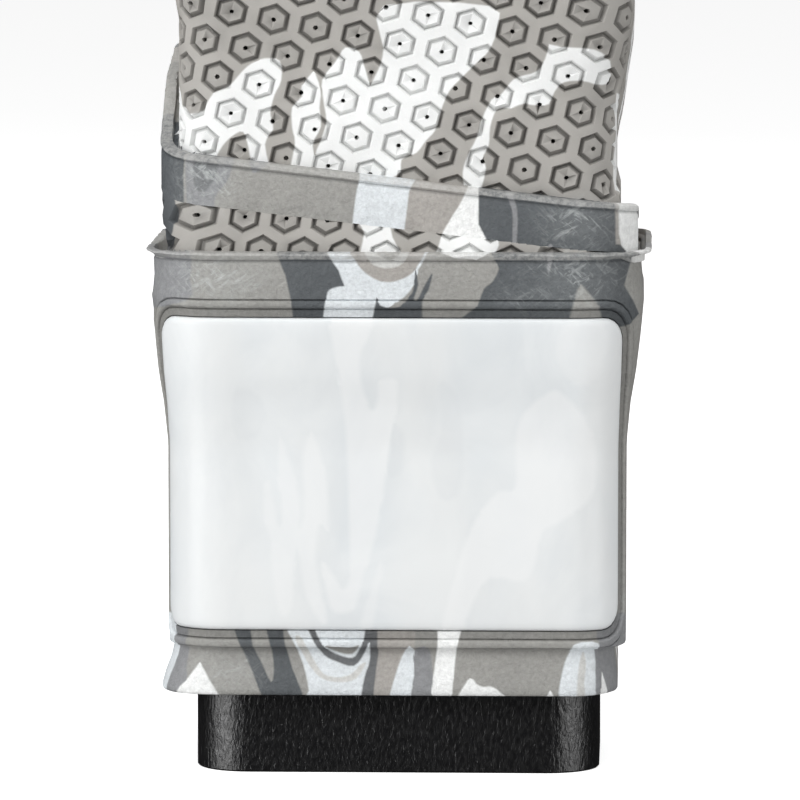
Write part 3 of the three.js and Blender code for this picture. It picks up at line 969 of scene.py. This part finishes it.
def make_mesh(name, points, faces, uv=None):
    """A mesh object from millimetre points, with the unrolled position of every corner as its UV."""
    mesh = bpy.data.meshes.new(name)
    mesh.from_pydata((points * MM).tolist(), [], faces)
    if uv is not None:
        layer = mesh.uv_layers.new(name="unrolled")
        layer.data.foreach_set("uv", np.asarray(uv, np.float32).ravel())
    mesh.shade_smooth()
    mesh.set_sharp_from_angle(angle=math.radians(32))
    piece = bpy.data.objects.new(name, mesh)
    bpy.context.scene.collection.objects.link(piece)
    return piece


def add_values(mesh, name, domain, values):
    layer = mesh.attributes.new(name, "FLOAT", domain)
    layer.data.foreach_set("value", np.asarray(values, np.float32))


def add_corner_colors(mesh, name, colors):
    layer = mesh.color_attributes.new(name, "FLOAT_COLOR", "CORNER")
    full = np.concatenate([colors, np.ones((len(colors), 1))], 1)
    layer.data.foreach_set("color", np.asarray(full, np.float32).ravel())


def ring_path(rings, u):
    """Rows of points on (half_x, half_y, corner, z) sections, all at the same values of u."""
    rows = []
    for half_x, half_y, corner, z in rings:
        x, y = place_on(u, half_x, half_y, corner)
        rows.append(np.stack([x, y, np.full_like(x, z)], 1))
    return rows


def quads_between(lower, upper):
    """Faces between two closed rows of point numbers."""
    return [
        (int(a), int(b), int(c), int(d))
        for a, b, c, d in zip(lower, np.roll(lower, -1), np.roll(upper, -1), upper)
    ]


def strip_between(lower, lower_u, upper, upper_u):
    """Triangles between two closed rows of point numbers whose points need not match."""
    lower_u, upper_u = np.append(lower_u, BACK), np.append(upper_u, BACK)
    a = b = 0
    faces = []
    while a < len(lower) or b < len(upper):
        if b == len(upper) or (a < len(lower) and lower_u[a + 1] <= upper_u[b + 1]):
            faces.append((lower[a], lower[(a + 1) % len(lower)], upper[b % len(upper)]))
            a += 1
        else:
            faces.append((lower[a % len(lower)], upper[(b + 1) % len(upper)], upper[b]))
            b += 1
    return faces


def closed_tube(name, rings, u=ROUND):
    """A ring-shaped solid whose section is the closed path through the rings."""
    rows = ring_path(rings, u)
    points = np.concatenate(rows)
    count = len(u)
    index = [np.arange(count) + row * count for row in range(len(rows))]
    faces, uv = [], []
    travel = 0.0
    for row in range(len(rows)):
        after = (row + 1) % len(rows)
        step = float(np.linalg.norm(rows[after][0] - rows[row][0]))
        faces += quads_between(index[row], index[after])
        ends = np.append(u[1:], BACK)
        for a, b in zip(u, ends):
            uv += [(a, travel), (b, travel), (b, travel + step), (a, travel + step)]
        travel += step
    return make_mesh(name, points, faces, np.array(uv))


def stitch_back(points):
    """Point numbers that join the two sides of the cut down the back."""
    index = np.arange(len(points))
    left = np.where(np.abs(points[:, 0] + BACK) < 1e-3)[0]
    right = np.where(np.abs(points[:, 0] - BACK) < 1e-3)[0]
    for number in right:
        gaps = np.abs(points[left, 1] - points[number, 1])
        nearest = gaps.argmin()
        if gaps[nearest] < 2e-3:
            index[number] = left[nearest]
    return index


def net_of_skin():
    net = Net()
    add_levels(net)
    add_frame(net)
    add_ledges(net)
    add_field_cells(net)
    add_panel_cells(net)
    add_patches(net)
    seams(net)
    return net


def row_at(flat, v):
    """Point numbers along a level line, from the back round the front to the back again."""
    found = np.where(np.abs(flat[:, 1] - v) < 1e-4)[0]
    found = found[(flat[found, 0] > -BACK - 1e-3) & (flat[found, 0] < BACK - 1e-3)]
    return found[np.argsort(flat[found, 0])]


def inner_rings():
    """Sections of the sleeve's inside: the cap's seat, the vent and the bore."""
    seat = (CAP_HALF_X + CAP_GAP, CAP_HALF_Y + CAP_GAP, CAP_CORNER + CAP_GAP)
    seat_rim = tuple(size + 0.2 for size in seat)
    vent = (VENT_RADIUS, VENT_RADIUS, VENT_RADIUS - 0.05)
    bore = (SHAFT_HALF_X + BORE_GAP, SHAFT_HALF_Y + BORE_GAP, SHAFT_CORNER + BORE_GAP)
    mouth = tuple(size + 0.25 for size in bore)
    seat_floor, ceiling = CAP_LOW[2] - CAP_GAP, SHAFT_HIGH[2] + 2.6
    rings = [(*seat_rim, BUTT), (*seat, BUTT - 0.2), (*seat, seat_floor), (*vent, seat_floor)]
    return rings + [(*vent, ceiling), (*bore, ceiling), (*bore, MOUTH + 0.3), (*mouth, MOUTH)]


def inner_faces(flat, first):
    """Points of the sleeve's inside, numbered from first, and the triangles that join them to the skin."""
    top, bottom = row_at(flat, BUTT), row_at(flat, MOUTH)
    rows = ring_path(inner_rings(), ROUND)
    index = [first + np.arange(len(ROUND)) + k * len(ROUND) for k in range(len(rows))]
    faces = strip_between(top, flat[top, 0], index[0], ROUND)
    for lower, upper in zip(index, index[1:]):
        for a, b, c, d in quads_between(lower, upper):
            faces += [(a, b, c), (a, c, d)]
    faces += strip_between(index[-1], ROUND, bottom, flat[bottom, 0])
    return np.concatenate(rows), np.array(faces)


def make_sleeve():
    """The whole sleeve: the patterned skin, the butt end, the cap's seat, the bore and the lip."""
    flat, faces = net_of_skin().triangulate()
    middle = flat[faces].mean(1)
    inside = (np.abs(middle[:, 0]) < BACK) & (middle[:, 1] > MOUTH) & (middle[:, 1] < BUTT)
    faces, middle = faces[inside], middle[inside]
    number = stitch_back(flat)
    grow, detail, rise = skin(flat[:, 0], flat[:, 1])
    inner_points, inner = inner_faces(flat, len(flat))
    points = np.concatenate([place(flat[:, 0], grow, flat[:, 1] + rise), inner_points])
    used, all_faces = np.unique(np.concatenate([number[faces], inner]), return_inverse=True)
    uv = np.concatenate([flat[faces].reshape(-1, 2), np.zeros((len(inner) * 3, 2))])
    piece = make_mesh("sleeve_skin", points[used], all_faces.reshape(-1, 3).tolist(), uv)
    on_skin = {
        # depth: also drives the painted shade that darkens the pits, the pin holes and the slit round the
        # badge
        "depth": detail,
        # rim: the mask of the painted highlight on the moulded edges and of the painted shade line in the
        # groove below them
        "rim": rim_share(flat[:, 0], flat[:, 1]),
        "brushed": brushed(flat[:, 0], flat[:, 1]),
    }
    for name, values in on_skin.items():
        add_values(piece.data, name, "POINT", np.concatenate([values, np.zeros(len(inner_points))])[used])
    cells = celled(middle[:, 0], middle[:, 1])
    add_values(piece.data, "plain", "FACE", np.concatenate([1.0 - cells, np.ones(len(inner))]))
    tones = [corner_tones(flat, faces, cells), np.tile(TONES["grey"], (len(inner) * 3, 1))]
    add_corner_colors(piece.data, "tone", np.concatenate(tones))
    return piece


def rim_share(u, v):
    """1 on the moulded edge along the ledge and the collar, -1 in the fine groove below it, 0 elsewhere: the
    mask of the painted highlight on the edge and of the painted shade line in the groove.
    """
    block, field, _ = zones(v)
    s, d = on_ribbon(u, v)
    over = v - ledge_height(s + AROUND)
    ledge_edge = field & ((d < 0.45) | ((over > 0) & (over < 0.35 * STEP)))
    collar_edge = block & (v > COLLAR_TOP - 0.45)
    ledge_groove = field & (d > 0.5) & (d < 0.7)
    collar_groove = block & (v > COLLAR_TOP - 0.7) & (v < COLLAR_TOP - 0.5)
    return (ledge_edge | collar_edge).astype(float) - (ledge_groove | collar_groove)


# Where the front looks brushed, as (distance round, height, half width, half height, strength)
BRUSHED_SPOTS = [
    (13.0, 40.6, 2.2, 1.7, 1.0),
    (12.7, 36.7, 2.6, 1.9, 0.85),
    (9.6, 35.4, 2.2, 1.2, 0.4),
    (-13.6, 43.8, 1.6, 2.0, 1.0),
    (-12.6, 36.6, 2.9, 1.6, 1.0),
    (-12.2, 7.6, 2.2, 1.5, 0.7),
]


BRUSHED_COUNT = 60


def brushed(u, v):
    """How brushed the skin looks, from 0 to 1: soft spots on the front and scattered ones elsewhere."""
    draw = random.Random(11)
    spots = [(x, z + FRONT_RAISED, *rest) for x, z, *rest in BRUSHED_SPOTS]
    while len(spots) < BRUSHED_COUNT:
        x, z = draw.uniform(-BACK, BACK), draw.uniform(MOUTH, BUTT)
        size = draw.uniform(1.6, 3.4), draw.uniform(1.4, 2.8)
        if abs(x) > FRONT_EDGE or z > FRONT_TOP:
            spots.append((x, z, *size, draw.uniform(0.5, 1.0)))
    w = from_front(u)
    total = np.zeros_like(u)
    for x, z, half_x, half_z, strength in spots:
        near = strength * np.exp(-(((w - x) / half_x) ** 2) - ((v - z) / half_z) ** 2)
        total = np.maximum(total, near)
    return total


# ---- Badge, shaft and cap ----

BADGE_EDGE = [(0.0, -0.30), (-0.06, -0.14), (-0.16, -0.05), (-0.32, 0.0), (-0.6, 0.02)]
BADGE_CROWN = 0.12
BADGE_FLOOR = -0.56
GHOST_FADE = 0.2  # half the width over which a ghost's edge fades


def badge_net():
    net = Net()
    for distance, _ in BADGE_EDGE:
        net.loop(badge_loop(distance))
    for v in np.arange(BADGE_LOW + 0.9, BADGE_HIGH - 0.6, 0.8):
        grid_u = ROUND[badge_distance(ROUND, v) < -0.8]
        net.scatter(np.stack([grid_u, np.full_like(grid_u, v)], 1))
    for _, outline in GHOSTS:
        net.loop(moved_out(outline, -GHOST_FADE))
        net.loop(moved_out(outline, GHOST_FADE))
    return net


def film_faces(faces, count):
    """The faces of a film's front, of its back and of the strip between their edges."""
    both = faces.tolist() + (faces[:, ::-1] + count).tolist()
    directed = np.concatenate([faces[:, [0, 1]], faces[:, [1, 2]], faces[:, [2, 0]]])
    known = {(int(a), int(b)) for a, b in directed}
    border = [(a, b) for a, b in known if (b, a) not in known]
    both += [(a, a + count, b + count) for a, b in border]
    return np.array(both + [(a, b + count, b) for a, b in border])


def make_badge():
    """A thin pillowed film that bends back round the front corners."""
    flat, faces = badge_net().triangulate()
    middle = flat[faces].mean(1)
    faces = faces[badge_distance(middle[:, 0], middle[:, 1]) < 0]
    u, v = flat.T
    edge = badge_distance(u, v)
    lift = np.interp(edge, *columns(sorted(BADGE_EDGE)))
    lift += BADGE_CROWN * np.clip(-edge / 4, 0, 1) ** 0.7
    base = np.interp(v, *columns(BLOCK_LEVELS))
    points = np.concatenate([place(u, base + lift, v), place(u, base + BADGE_FLOOR, v)])
    all_faces = film_faces(faces, len(flat))
    uv = np.concatenate([flat, flat])[all_faces].reshape(-1, 2)
    used, all_faces = np.unique(all_faces, return_inverse=True)
    piece = make_mesh("badge_film", points[used], all_faces.reshape(-1, 3).tolist(), uv)
    ghost = np.zeros(len(flat))
    for strength, outline in GHOSTS:
        ghost[within(outline, u, v)] = strength
    add_values(piece.data, "ghost", "POINT", np.concatenate([ghost, ghost])[used])
    return piece


# The marbling that shows faintly through the badge, as (strength, outline)
GHOST_SHAPES = [
    (1.0, [(-4.7, 33.9), (-1.6, 33.9), (-2.1, 32.2), (-2.6, 30.6), (-2.4, 28.6), (-1.8, 26.9), (-1.3, 27.5),
           (-1.1, 29.0), (0.1, 29.0), (0.0, 26.5), (-0.5, 23.5), (-1.0, 20.0), (-1.6, 17.0), (-2.5, 14.2),
           (-2.9, 12.4), (-3.8, 11.8), (-4.7, 12.1), (-5.2, 14.0), (-5.4, 15.6), (-4.6, 14.6), (-3.9, 13.6),
           (-3.3, 14.6), (-3.4, 18.0), (-3.5, 22.0), (-3.7, 26.0), (-4.2, 30.0)]),
    (1.0, [(3.4, 10.2), (4.2, 14.0), (5.2, 17.3), (6.2, 19.2), (7.5, 20.8), (8.8, 21.2), (8.8, 24.0),
           (9.1, 26.0), (10.2, 27.5), (11.7, 28.4), (12.7, 27.7), (13.6, 26.4), (14.3, 24.0), (14.2, 21.0),
           (13.4, 19.6), (12.0, 18.6), (10.7, 17.8), (10.3, 15.6), (9.4, 14.2), (7.0, 14.5), (5.6, 12.4),
           (4.8, 10.2)]),
    (0.8, [(-8.5, 24.9), (-8.5, 24.9), (-8.6, 22.0), (-8.4, 18.6), (-9.2, 17.2), (-8.9, 13.5), (-8.4, 11.6),
           (-7.6, 12.4), (-7.4, 15.5), (-7.0, 19.0), (-7.5, 22.2)]),
    (0.9, [(-6.2, 25.3), (-6.2, 25.3), (-6.8, 23.4), (-6.7, 19.6), (-7.1, 17.0), (-6.8, 14.0), (-6.1, 12.0),
           (-5.1, 11.0), (-5.5, 13.6), (-5.9, 16.0), (-5.6, 18.4), (-5.0, 17.8), (-5.0, 21.0), (-5.5, 23.6)]),
    (0.7, [(-9.5, 22.0), (-9.5, 22.0), (-9.7, 19.6), (-9.3, 17.6), (-8.7, 17.0), (-8.8, 19.2), (-9.2, 21.0)]),
    (0.7, [(-0.8, 16.2), (-0.8, 16.2), (-1.7, 14.0), (-2.6, 10.6), (-1.8, 10.6), (-1.3, 13.0)]),
    (0.5, [(12.6, 33.4), (14.4, 33.4), (14.6, 31.0), (13.8, 28.8), (12.4, 29.4), (11.8, 31.4)]),
    (-0.7, [(-0.2, 25.8), (0.6, 25.0), (0.5, 22.5), (-0.4, 21.9), (-0.5, 23.8)]),
    (-0.6, [(3.2, 29.0), (4.6, 27.8), (5.0, 23.5), (4.6, 20.6), (3.3, 20.4), (2.6, 23.0), (3.4, 25.8)]),
    (-0.5, [(-11.6, 28.5), (-9.6, 27.4), (-9.9, 25.2), (-11.4, 24.6), (-12.0, 26.4)]),
]
GHOSTS = [(tone, smooth_outline(points) + (0, FRONT_RAISED)) for tone, points in GHOST_SHAPES]


def make_shaft():
    outer = (SHAFT_HALF_X, SHAFT_HALF_Y, SHAFT_CORNER)
    eased = tuple(size - 0.12 for size in outer)
    inner = tuple(size - SHAFT_WALL for size in outer)
    inner_eased = tuple(size + 0.1 for size in inner)
    low, high = SHAFT_LOW[2], SHAFT_HIGH[2]
    rings = [(*eased, low), (*outer, low + 0.12)]
    rings += [(*outer, z) for z in np.linspace(low + 1, high - 1, 8)]
    rings += [(*outer, high - 0.12), (*eased, high), (*inner_eased, high), (*inner, high - 0.1)]
    rings += [(*inner, low + 0.1), (*inner_eased, low)]
    return closed_tube("shaft_tube", rings)


def make_cap():
    """The cap: an eased edge, a shallow dish with a fine step round it, and the vent."""
    full = (CAP_HALF_X, CAP_HALF_Y, CAP_CORNER)

    def inset(by):
        return tuple(size - by for size in full)

    vent = (CAP_VENT_RADIUS, CAP_VENT_RADIUS, CAP_VENT_RADIUS - 0.05)
    vent_rim = tuple(size + 0.35 for size in vent)
    boss = (2.6, 2.6, 2.55)
    low, high = CAP_LOW[2], CAP_HIGH[2]
    rings = [(*inset(0.2), low), (*full, low + 0.2), (*full, high - 0.25), (*inset(0.08), high - 0.08)]
    rings += [(*inset(0.25), high), (*inset(1.1), high)]
    rings += [(*inset(1.3), high - 0.35), (*inset(1.6), high - 0.4)]
    rings += [(*boss, high - 0.4), (*(size - 0.1 for size in boss), high - 0.1)]
    rings += [(*vent_rim, high - 0.1), (*vent, high - 0.4), (*vent, low)]
    return closed_tube("vent_cap", rings)


# ---- Materials ----


class Shader:
    """A material under construction. Lengths in its textures are millimetres, and scales are per one."""

    def __init__(self, name):
        self.material = bpy.data.materials.new(name)
        self.material.use_nodes = True
        self.tree = self.material.node_tree
        self.tree.nodes.clear()

    def node(self, kind, inputs=None, **settings):
        made = self.tree.nodes.new(kind)
        for key, setting in settings.items():
            setattr(made, key, setting)
        for key, source in (inputs or {}).items():
            if isinstance(source, bpy.types.NodeSocket):
                self.tree.links.new(source, made.inputs[key])
            else:
                made.inputs[key].default_value = source
        return made

    def place(self, scale=(1, 1, 1)):
        """The object's own coordinates in millimetres, stretched by scale."""
        spot = self.node("ShaderNodeTexCoord").outputs["Object"]
        factors = tuple(value / MM for value in scale)
        return self.node("ShaderNodeVectorMath", {0: spot, 1: factors}, operation="MULTIPLY").outputs[0]

    def noise(self, where, scale=1.0, detail=3.0, rough=0.55, bend=0.0):
        inputs = {"Vector": where, "Scale": scale, "Detail": detail, "Roughness": rough, "Distortion": bend}
        return self.node("ShaderNodeTexNoise", inputs).outputs["Fac"]

    def strokes(self, slant):
        """Short thin strokes that slant by an angle on the front and back."""
        spot = self.node("ShaderNodeMapping", {"Vector": self.place(), "Rotation": (0, slant, 0)}).outputs[0]
        factors = (0.7, 0.7, 2.6)
        thin = self.node("ShaderNodeVectorMath", {0: spot, 1: factors}, operation="MULTIPLY").outputs[0]
        return self.fit(self.noise(thin, 1.0, 4.0, 0.62, 0.8), 0.53, 0.68)

    def grey(self, level):
        """A grey as bright as a value."""
        return self.node("ShaderNodeCombineColor", {0: level, 1: level, 2: level}).outputs[0]

    def value(self, name):
        """A value stored on the mesh."""
        return self.node("ShaderNodeAttribute", attribute_name=name).outputs["Fac"]

    def math(self, operation, a, b=0.0):
        return self.node("ShaderNodeMath", {0: a, 1: b}, operation=operation).outputs[0]

    def fit(self, source, low, high, to_low=0.0, to_high=1.0):
        inputs = {"Value": source, "From Min": low, "From Max": high, "To Min": to_low, "To Max": to_high}
        return self.node("ShaderNodeMapRange", inputs, clamp=True).outputs["Result"]

    def curve(self, source, stops):
        """A value that follows (place, value) stops."""
        made = self.node("ShaderNodeValToRGB", {"Fac": source})
        elements = made.color_ramp.elements
        while len(elements) < len(stops):
            elements.new(0.5)
        for element, (spot, level) in zip(elements, stops):
            element.position = spot
            element.color = (level, level, level, 1)
        return made.outputs["Color"]

    def mix(self, share, a, b, blend="MIX"):
        """One colour mixed with another. The colour sockets are the node's seventh and eighth."""
        made = self.node("ShaderNodeMix", {"Factor": share}, data_type="RGBA", blend_type=blend)
        for socket, source in ((made.inputs[6], a), (made.inputs[7], b)):
            if isinstance(source, bpy.types.NodeSocket):
                self.tree.links.new(source, socket)
            else:
                socket.default_value = (*source, 1)
        return made.outputs[2]

    def times(self, color, by):
        return self.mix(1.0, color, by, "MULTIPLY")

    def bump(self, height, distance, strength=1.0, normal=None):
        inputs = {"Height": height, "Distance": distance * MM, "Strength": strength}
        if normal:
            inputs["Normal"] = normal
        return self.node("ShaderNodeBump", inputs).outputs["Normal"]

    def finish(self, color, roughness, normal, specular=0.5, **extra):
        inputs = {"Base Color": color, "Roughness": roughness, "Normal": normal}
        inputs["Specular IOR Level"] = specular
        inputs.update({key.replace("_", " "): value for key, value in extra.items()})
        made = self.node("ShaderNodeBsdfPrincipled", inputs)
        output = self.node("ShaderNodeOutputMaterial", {"Surface": made.outputs[0]})
        output.is_active_output = True
        return self.material


def brushed_color(s, tone):
    """The tone with brushed strokes that slant both ways, then slow and fine variation."""
    strokes = s.math("MAXIMUM", s.strokes(0.6), s.strokes(-0.75))
    amount = s.math("MULTIPLY", s.value("brushed"), s.math("ADD", s.math("MULTIPLY", strokes, 0.55), 0.14))
    color = s.mix(amount, tone, rgb("#c9cdcc"))
    cloud = s.fit(s.noise(s.place(), 0.22, 3.0), 0.3, 0.7, 0.93, 1.05)
    grain = s.fit(s.noise(s.place(), 3.0, 3.0, 0.75), 0.3, 0.7, 0.86, 1.1)
    color = s.times(color, s.grey(cloud))
    return s.mix(s.value("plain"), color, s.times(color, s.grey(grain)))


def pit_shade(s, tone):
    """How much light is left in the pits: less in the grey parts than in the white ones."""
    brightness = s.node("ShaderNodeRGBToBW", {"Color": tone}).outputs[0]
    # Painted shade: the deeper a point lies, the darker it is painted, down to near black in the pin holes.
    sunk = s.fit(s.value("depth"), 0.0, -0.6)
    in_grey = s.curve(sunk, [(0.0, 1.0), (0.12, 0.84), (0.45, 0.56), (0.7, 0.4), (0.78, 0.05), (1.0, 0.02)])
    in_white = s.curve(sunk, [(0.0, 1.0), (0.15, 0.95), (0.45, 0.84), (0.7, 0.62), (0.78, 0.08), (1.0, 0.02)])
    return s.mix(s.fit(brightness, 0.45, 0.85), in_grey, in_white)


def edge_highlight_and_groove_shade(s, color):
    """The colour with pale moulded edges, partly rough mould flash and partly a painted highlight where the
    rounded edge catches light, and a painted shade line in the groove under them.
    """
    rim = s.value("rim")
    rough_edge = s.fit(s.noise(s.place(), 2.4, 4.0, 0.7), 0.35, 0.6, 0.3, 1.0)
    flash_and_highlight = s.math("MULTIPLY", s.math("MAXIMUM", rim, 0.0), rough_edge)
    # Pale moulded edges: partly rough mould flash, partly a painted highlight.
    color = s.mix(s.math("MULTIPLY", flash_and_highlight, 0.6), color, rgb("#c2c1be"))
    # A painted shade line in the fine groove below the edges.
    return s.mix(s.fit(rim, 0.0, -1.0, 0.0, 0.5), color, rgb("#3a3c3e"))


def rubber():
    """Marbled rubber: satin, brushed pale in places, with painted shade in the pits and the pin holes, a
    painted shade line along the grooves and a painted highlight on the moulded edges.
    """
    s = Shader("marbled_rubber")
    tone = s.node("ShaderNodeAttribute", attribute_name="tone").outputs["Color"]
    color = edge_highlight_and_groove_shade(s, s.times(brushed_color(s, tone), pit_shade(s, tone)))
    leather = s.noise(s.place(), 2.1, 5.0, 0.62, 0.4)
    fine = s.noise(s.place(), 7.0, 2.0)
    normal = s.bump(leather, 0.2, s.fit(s.value("plain"), 0, 1, 0.15, 0.8))
    normal = s.bump(fine, 0.03, 0.5, normal)
    roughness = s.fit(s.noise(s.place(), 0.8, 3.0), 0.3, 0.7, 0.5, 0.64)
    return s.finish(color, roughness, normal, 0.32)


def badge_material():
    """White film, with the marbling under it showing faintly as ghosts."""
    s = Shader("badge_white_film")
    ghost = s.value("ghost")
    cloud = s.noise(s.place((1, 1, 0.6)), 0.16, 4.0, 0.6, 0.6)
    base = s.mix(s.fit(cloud, 0.35, 0.65), rgb("#dee2e4"), rgb("#e8ebec"))
    warm = s.fit(s.noise(s.place((1, 1, 0.5)), 0.11, 2.0), 0.45, 0.62)
    base = s.mix(s.math("MULTIPLY", warm, 0.35), base, rgb("#ebebe9"))
    base = s.mix(s.math("MULTIPLY", s.fit(ghost, 0, 1), 0.5), base, rgb("#f1f2f2"))
    base = s.mix(s.math("MULTIPLY", s.fit(ghost, 0, -1), 0.3), base, rgb("#d2d6d9"))
    normal = s.bump(s.noise(s.place(), 0.5, 2.0), 0.05, 0.2)
    normal = s.bump(s.noise(s.place(), 5.0, 2.0), 0.012, 0.3, normal)
    roughness = s.fit(cloud, 0.3, 0.7, 0.34, 0.46)
    return s.finish(base, roughness, normal, 0.4, Coat_Weight=0.15, Coat_Roughness=0.2)


def composite():
    """Black moulded composite with a fine grain drawn out along the shaft."""
    s = Shader("black_composite")
    grain = s.noise(s.place((2.4, 2.4, 1.1)), 1.3, 3.0, 0.6, 0.3)
    flecks = s.noise(s.place((4.2, 4.2, 1.8)), 1.0, 2.0, 0.5)
    color = s.mix(s.fit(flecks, 0.6, 0.75), rgb("#050507"), rgb("#141418"))
    normal = s.bump(grain, 0.11, 0.8)
    return s.finish(color, s.fit(flecks, 0.35, 0.65, 0.42, 0.28), normal, 1.0)


def cap_material():
    s = Shader("cap_rubber")
    grain = s.noise(s.place(), 1.6, 5.0, 0.6, 0.3)
    cloud = s.noise(s.place(), 0.25, 3.0)
    color = s.mix(s.fit(cloud, 0.35, 0.65), rgb("#434649"), rgb("#53575a"))
    normal = s.bump(grain, 0.1, 0.5)
    return s.finish(color, s.fit(grain, 0.3, 0.7, 0.55, 0.7), normal, 0.35)


def tape_material():
    """Double-sided cloth tape: a fine cross weave under a slightly yellow adhesive."""
    s = Shader("mounting_tape")
    threads = {"Vector": s.place(), "Scale": 0.55}
    along, over = (s.node("ShaderNodeTexWave", threads, bands_direction=axis).outputs["Fac"] for axis in "ZX")
    weave = s.math("ADD", along, over)
    cloud = s.noise(s.place(), 0.3, 3.0)
    color = s.mix(s.fit(cloud, 0.35, 0.65), rgb("#e3dcc6"), rgb("#efe9d6"))
    color = s.mix(s.fit(weave, 0.2, 1.6, 0.2, 0.0), color, rgb("#b9ae90"))
    return s.finish(color, 0.6, s.bump(weave, 0.06, 0.5), 0.35)


def plug_material():
    s = Shader("plug_plastic")
    grain = s.noise(s.place(), 2.2, 4.0)
    color = s.mix(s.fit(grain, 0.35, 0.65), rgb("#242528"), rgb("#303236"))
    return s.finish(color, s.fit(grain, 0.3, 0.7, 0.45, 0.6), s.bump(grain, 0.05, 0.4), 0.4)


# ---- Pieces on the frame ----


def dress(piece, material, node):
    """Gives a piece its material and its place on the frame."""
    piece.data.materials.clear()
    piece.data.materials.append(material)
    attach(piece, "root")
    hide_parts(node)


def repaint(node, material):
    """A new material for a CAD node that stays as it is."""
    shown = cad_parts[node]
    if not shown.material_slots:
        shown.data.materials.append(None)
    for slot in shown.material_slots:
        slot.material = material


dress(make_sleeve(), rubber(), "grip_sleeve")
dress(make_badge(), badge_material(), "badge")
dress(make_shaft(), composite(), "shaft_stub")
dress(make_cap(), cap_material(), "butt_cap")
repaint("mounting_tape", tape_material())
repaint("butt_plug", plug_material())

# ---- Studio ----

CAMERA_TURN = 2.0  # degrees round from the front
CAMERA_RISE = 6.0
CAMERA_AWAY = 500.0
AIM = (0.30, -HALF_DEPTH, 27.9)  # what the middle of the picture shows
SEEN_WIDTH = 58.8  # width of the frame at the badge
SENSOR = 36.0
WORLD_FILL = 0.3
WORLD_REFLECTED = 0.03
LIGHTS_AIM = 45.0  # the height the lights point at
# (name, turn, rise, distance, width, height, power)
LIGHTS = [
    ("key", -22, 48, 520, 420, 300, 1.3),
    ("left_box", -56, 4, 420, 240, 420, 1.2),
    ("right_box", 58, 4, 420, 200, 420, 0.75),
    ("top", 10, 84, 600, 420, 420, 0.7),
    ("rear", 160, 40, 500, 400, 300, 0.5),
]


def towards(turn, rise, away):
    """A point at a distance from the object's axis, in metres. Turn 0 is the front."""
    a, b = math.radians(turn), math.radians(rise)
    flat = away * math.cos(b)
    return Vector((flat * math.sin(a), -flat * math.cos(a), away * math.sin(b))) * MM


def aimed(thing, target):
    direction = target - thing.location
    thing.rotation_euler = direction.to_track_quat("-Z", "Y").to_euler()


def make_camera():
    data = bpy.data.cameras.new("camera")
    data.sensor_width = SENSOR
    data.lens = SENSOR * CAMERA_AWAY / SEEN_WIDTH
    data.clip_start = 0.01
    camera = bpy.data.objects.new("camera", data)
    bpy.context.scene.collection.objects.link(camera)
    target = Vector(AIM) * MM
    camera.location = target + towards(CAMERA_TURN, CAMERA_RISE, CAMERA_AWAY)
    aimed(camera, target)
    bpy.context.scene.camera = camera


def make_light(name, turn, rise, away, width, height, power):
    data = bpy.data.lights.new(name, "AREA")
    data.shape = "RECTANGLE"
    data.size = width * MM
    data.size_y = height * MM
    data.energy = power
    light = bpy.data.objects.new(name, data)
    bpy.context.scene.collection.objects.link(light)
    target = Vector((0, 0, LIGHTS_AIM * MM))
    light.location = target + towards(turn, rise, away)
    aimed(light, target)


def make_floor():
    """A pale floor that the camera sees brighter than the object does, so that it stays near white."""
    mesh = bpy.data.meshes.new("floor")
    reach = 6.0  # metres
    corners = [(-reach, -reach, 0), (reach, -reach, 0), (reach, reach, 0), (-reach, reach, 0)]
    mesh.from_pydata(corners, [], [(0, 1, 2, 3)])
    floor = bpy.data.objects.new("floor", mesh)
    bpy.context.scene.collection.objects.link(floor)
    floor.visible_glossy = False
    floor.visible_shadow = False
    s = Shader("floor_paper")
    paper = s.node("ShaderNodeBsdfDiffuse", {"Color": (0.9, 0.9, 0.9, 1)}).outputs[0]
    glow = s.node("ShaderNodeEmission", {"Strength": 0.7}).outputs[0]
    seen = s.node("ShaderNodeAddShader", {0: paper, 1: glow}).outputs[0]
    dim = s.node("ShaderNodeBsdfDiffuse", {"Color": (0.5, 0.5, 0.5, 1)}).outputs[0]
    looked_at = s.node("ShaderNodeLightPath").outputs["Is Camera Ray"]
    both = s.node("ShaderNodeMixShader", {0: looked_at, 1: dim, 2: seen}).outputs[0]
    s.node("ShaderNodeOutputMaterial", {"Surface": both})
    mesh.materials.append(s.material)


def make_world():
    """White all round, but dimmer as a light, and dimmer still in reflections."""
    world = bpy.data.worlds.new("studio")
    world.use_nodes = True
    bpy.context.scene.world = world
    tree = world.node_tree
    tree.nodes.clear()

    def background(strength):
        made = tree.nodes.new("ShaderNodeBackground")
        made.inputs["Strength"].default_value = strength
        return made

    def either(ray, otherwise, then):
        made = tree.nodes.new("ShaderNodeMixShader")
        for source, socket in zip((path.outputs[ray], otherwise.outputs[0], then.outputs[0]), made.inputs):
            tree.links.new(source, socket)
        return made

    path = tree.nodes.new("ShaderNodeLightPath")
    unseen = either("Is Glossy Ray", background(WORLD_FILL), background(WORLD_REFLECTED))
    whole = either("Is Camera Ray", unseen, background(1.0))
    output = tree.nodes.new("ShaderNodeOutputWorld")
    tree.links.new(whole.outputs[0], output.inputs[0])


make_camera()
for light in LIGHTS:
    make_light(*light)
make_floor()
make_world()
bpy.context.scene.view_settings.view_transform = "Standard"
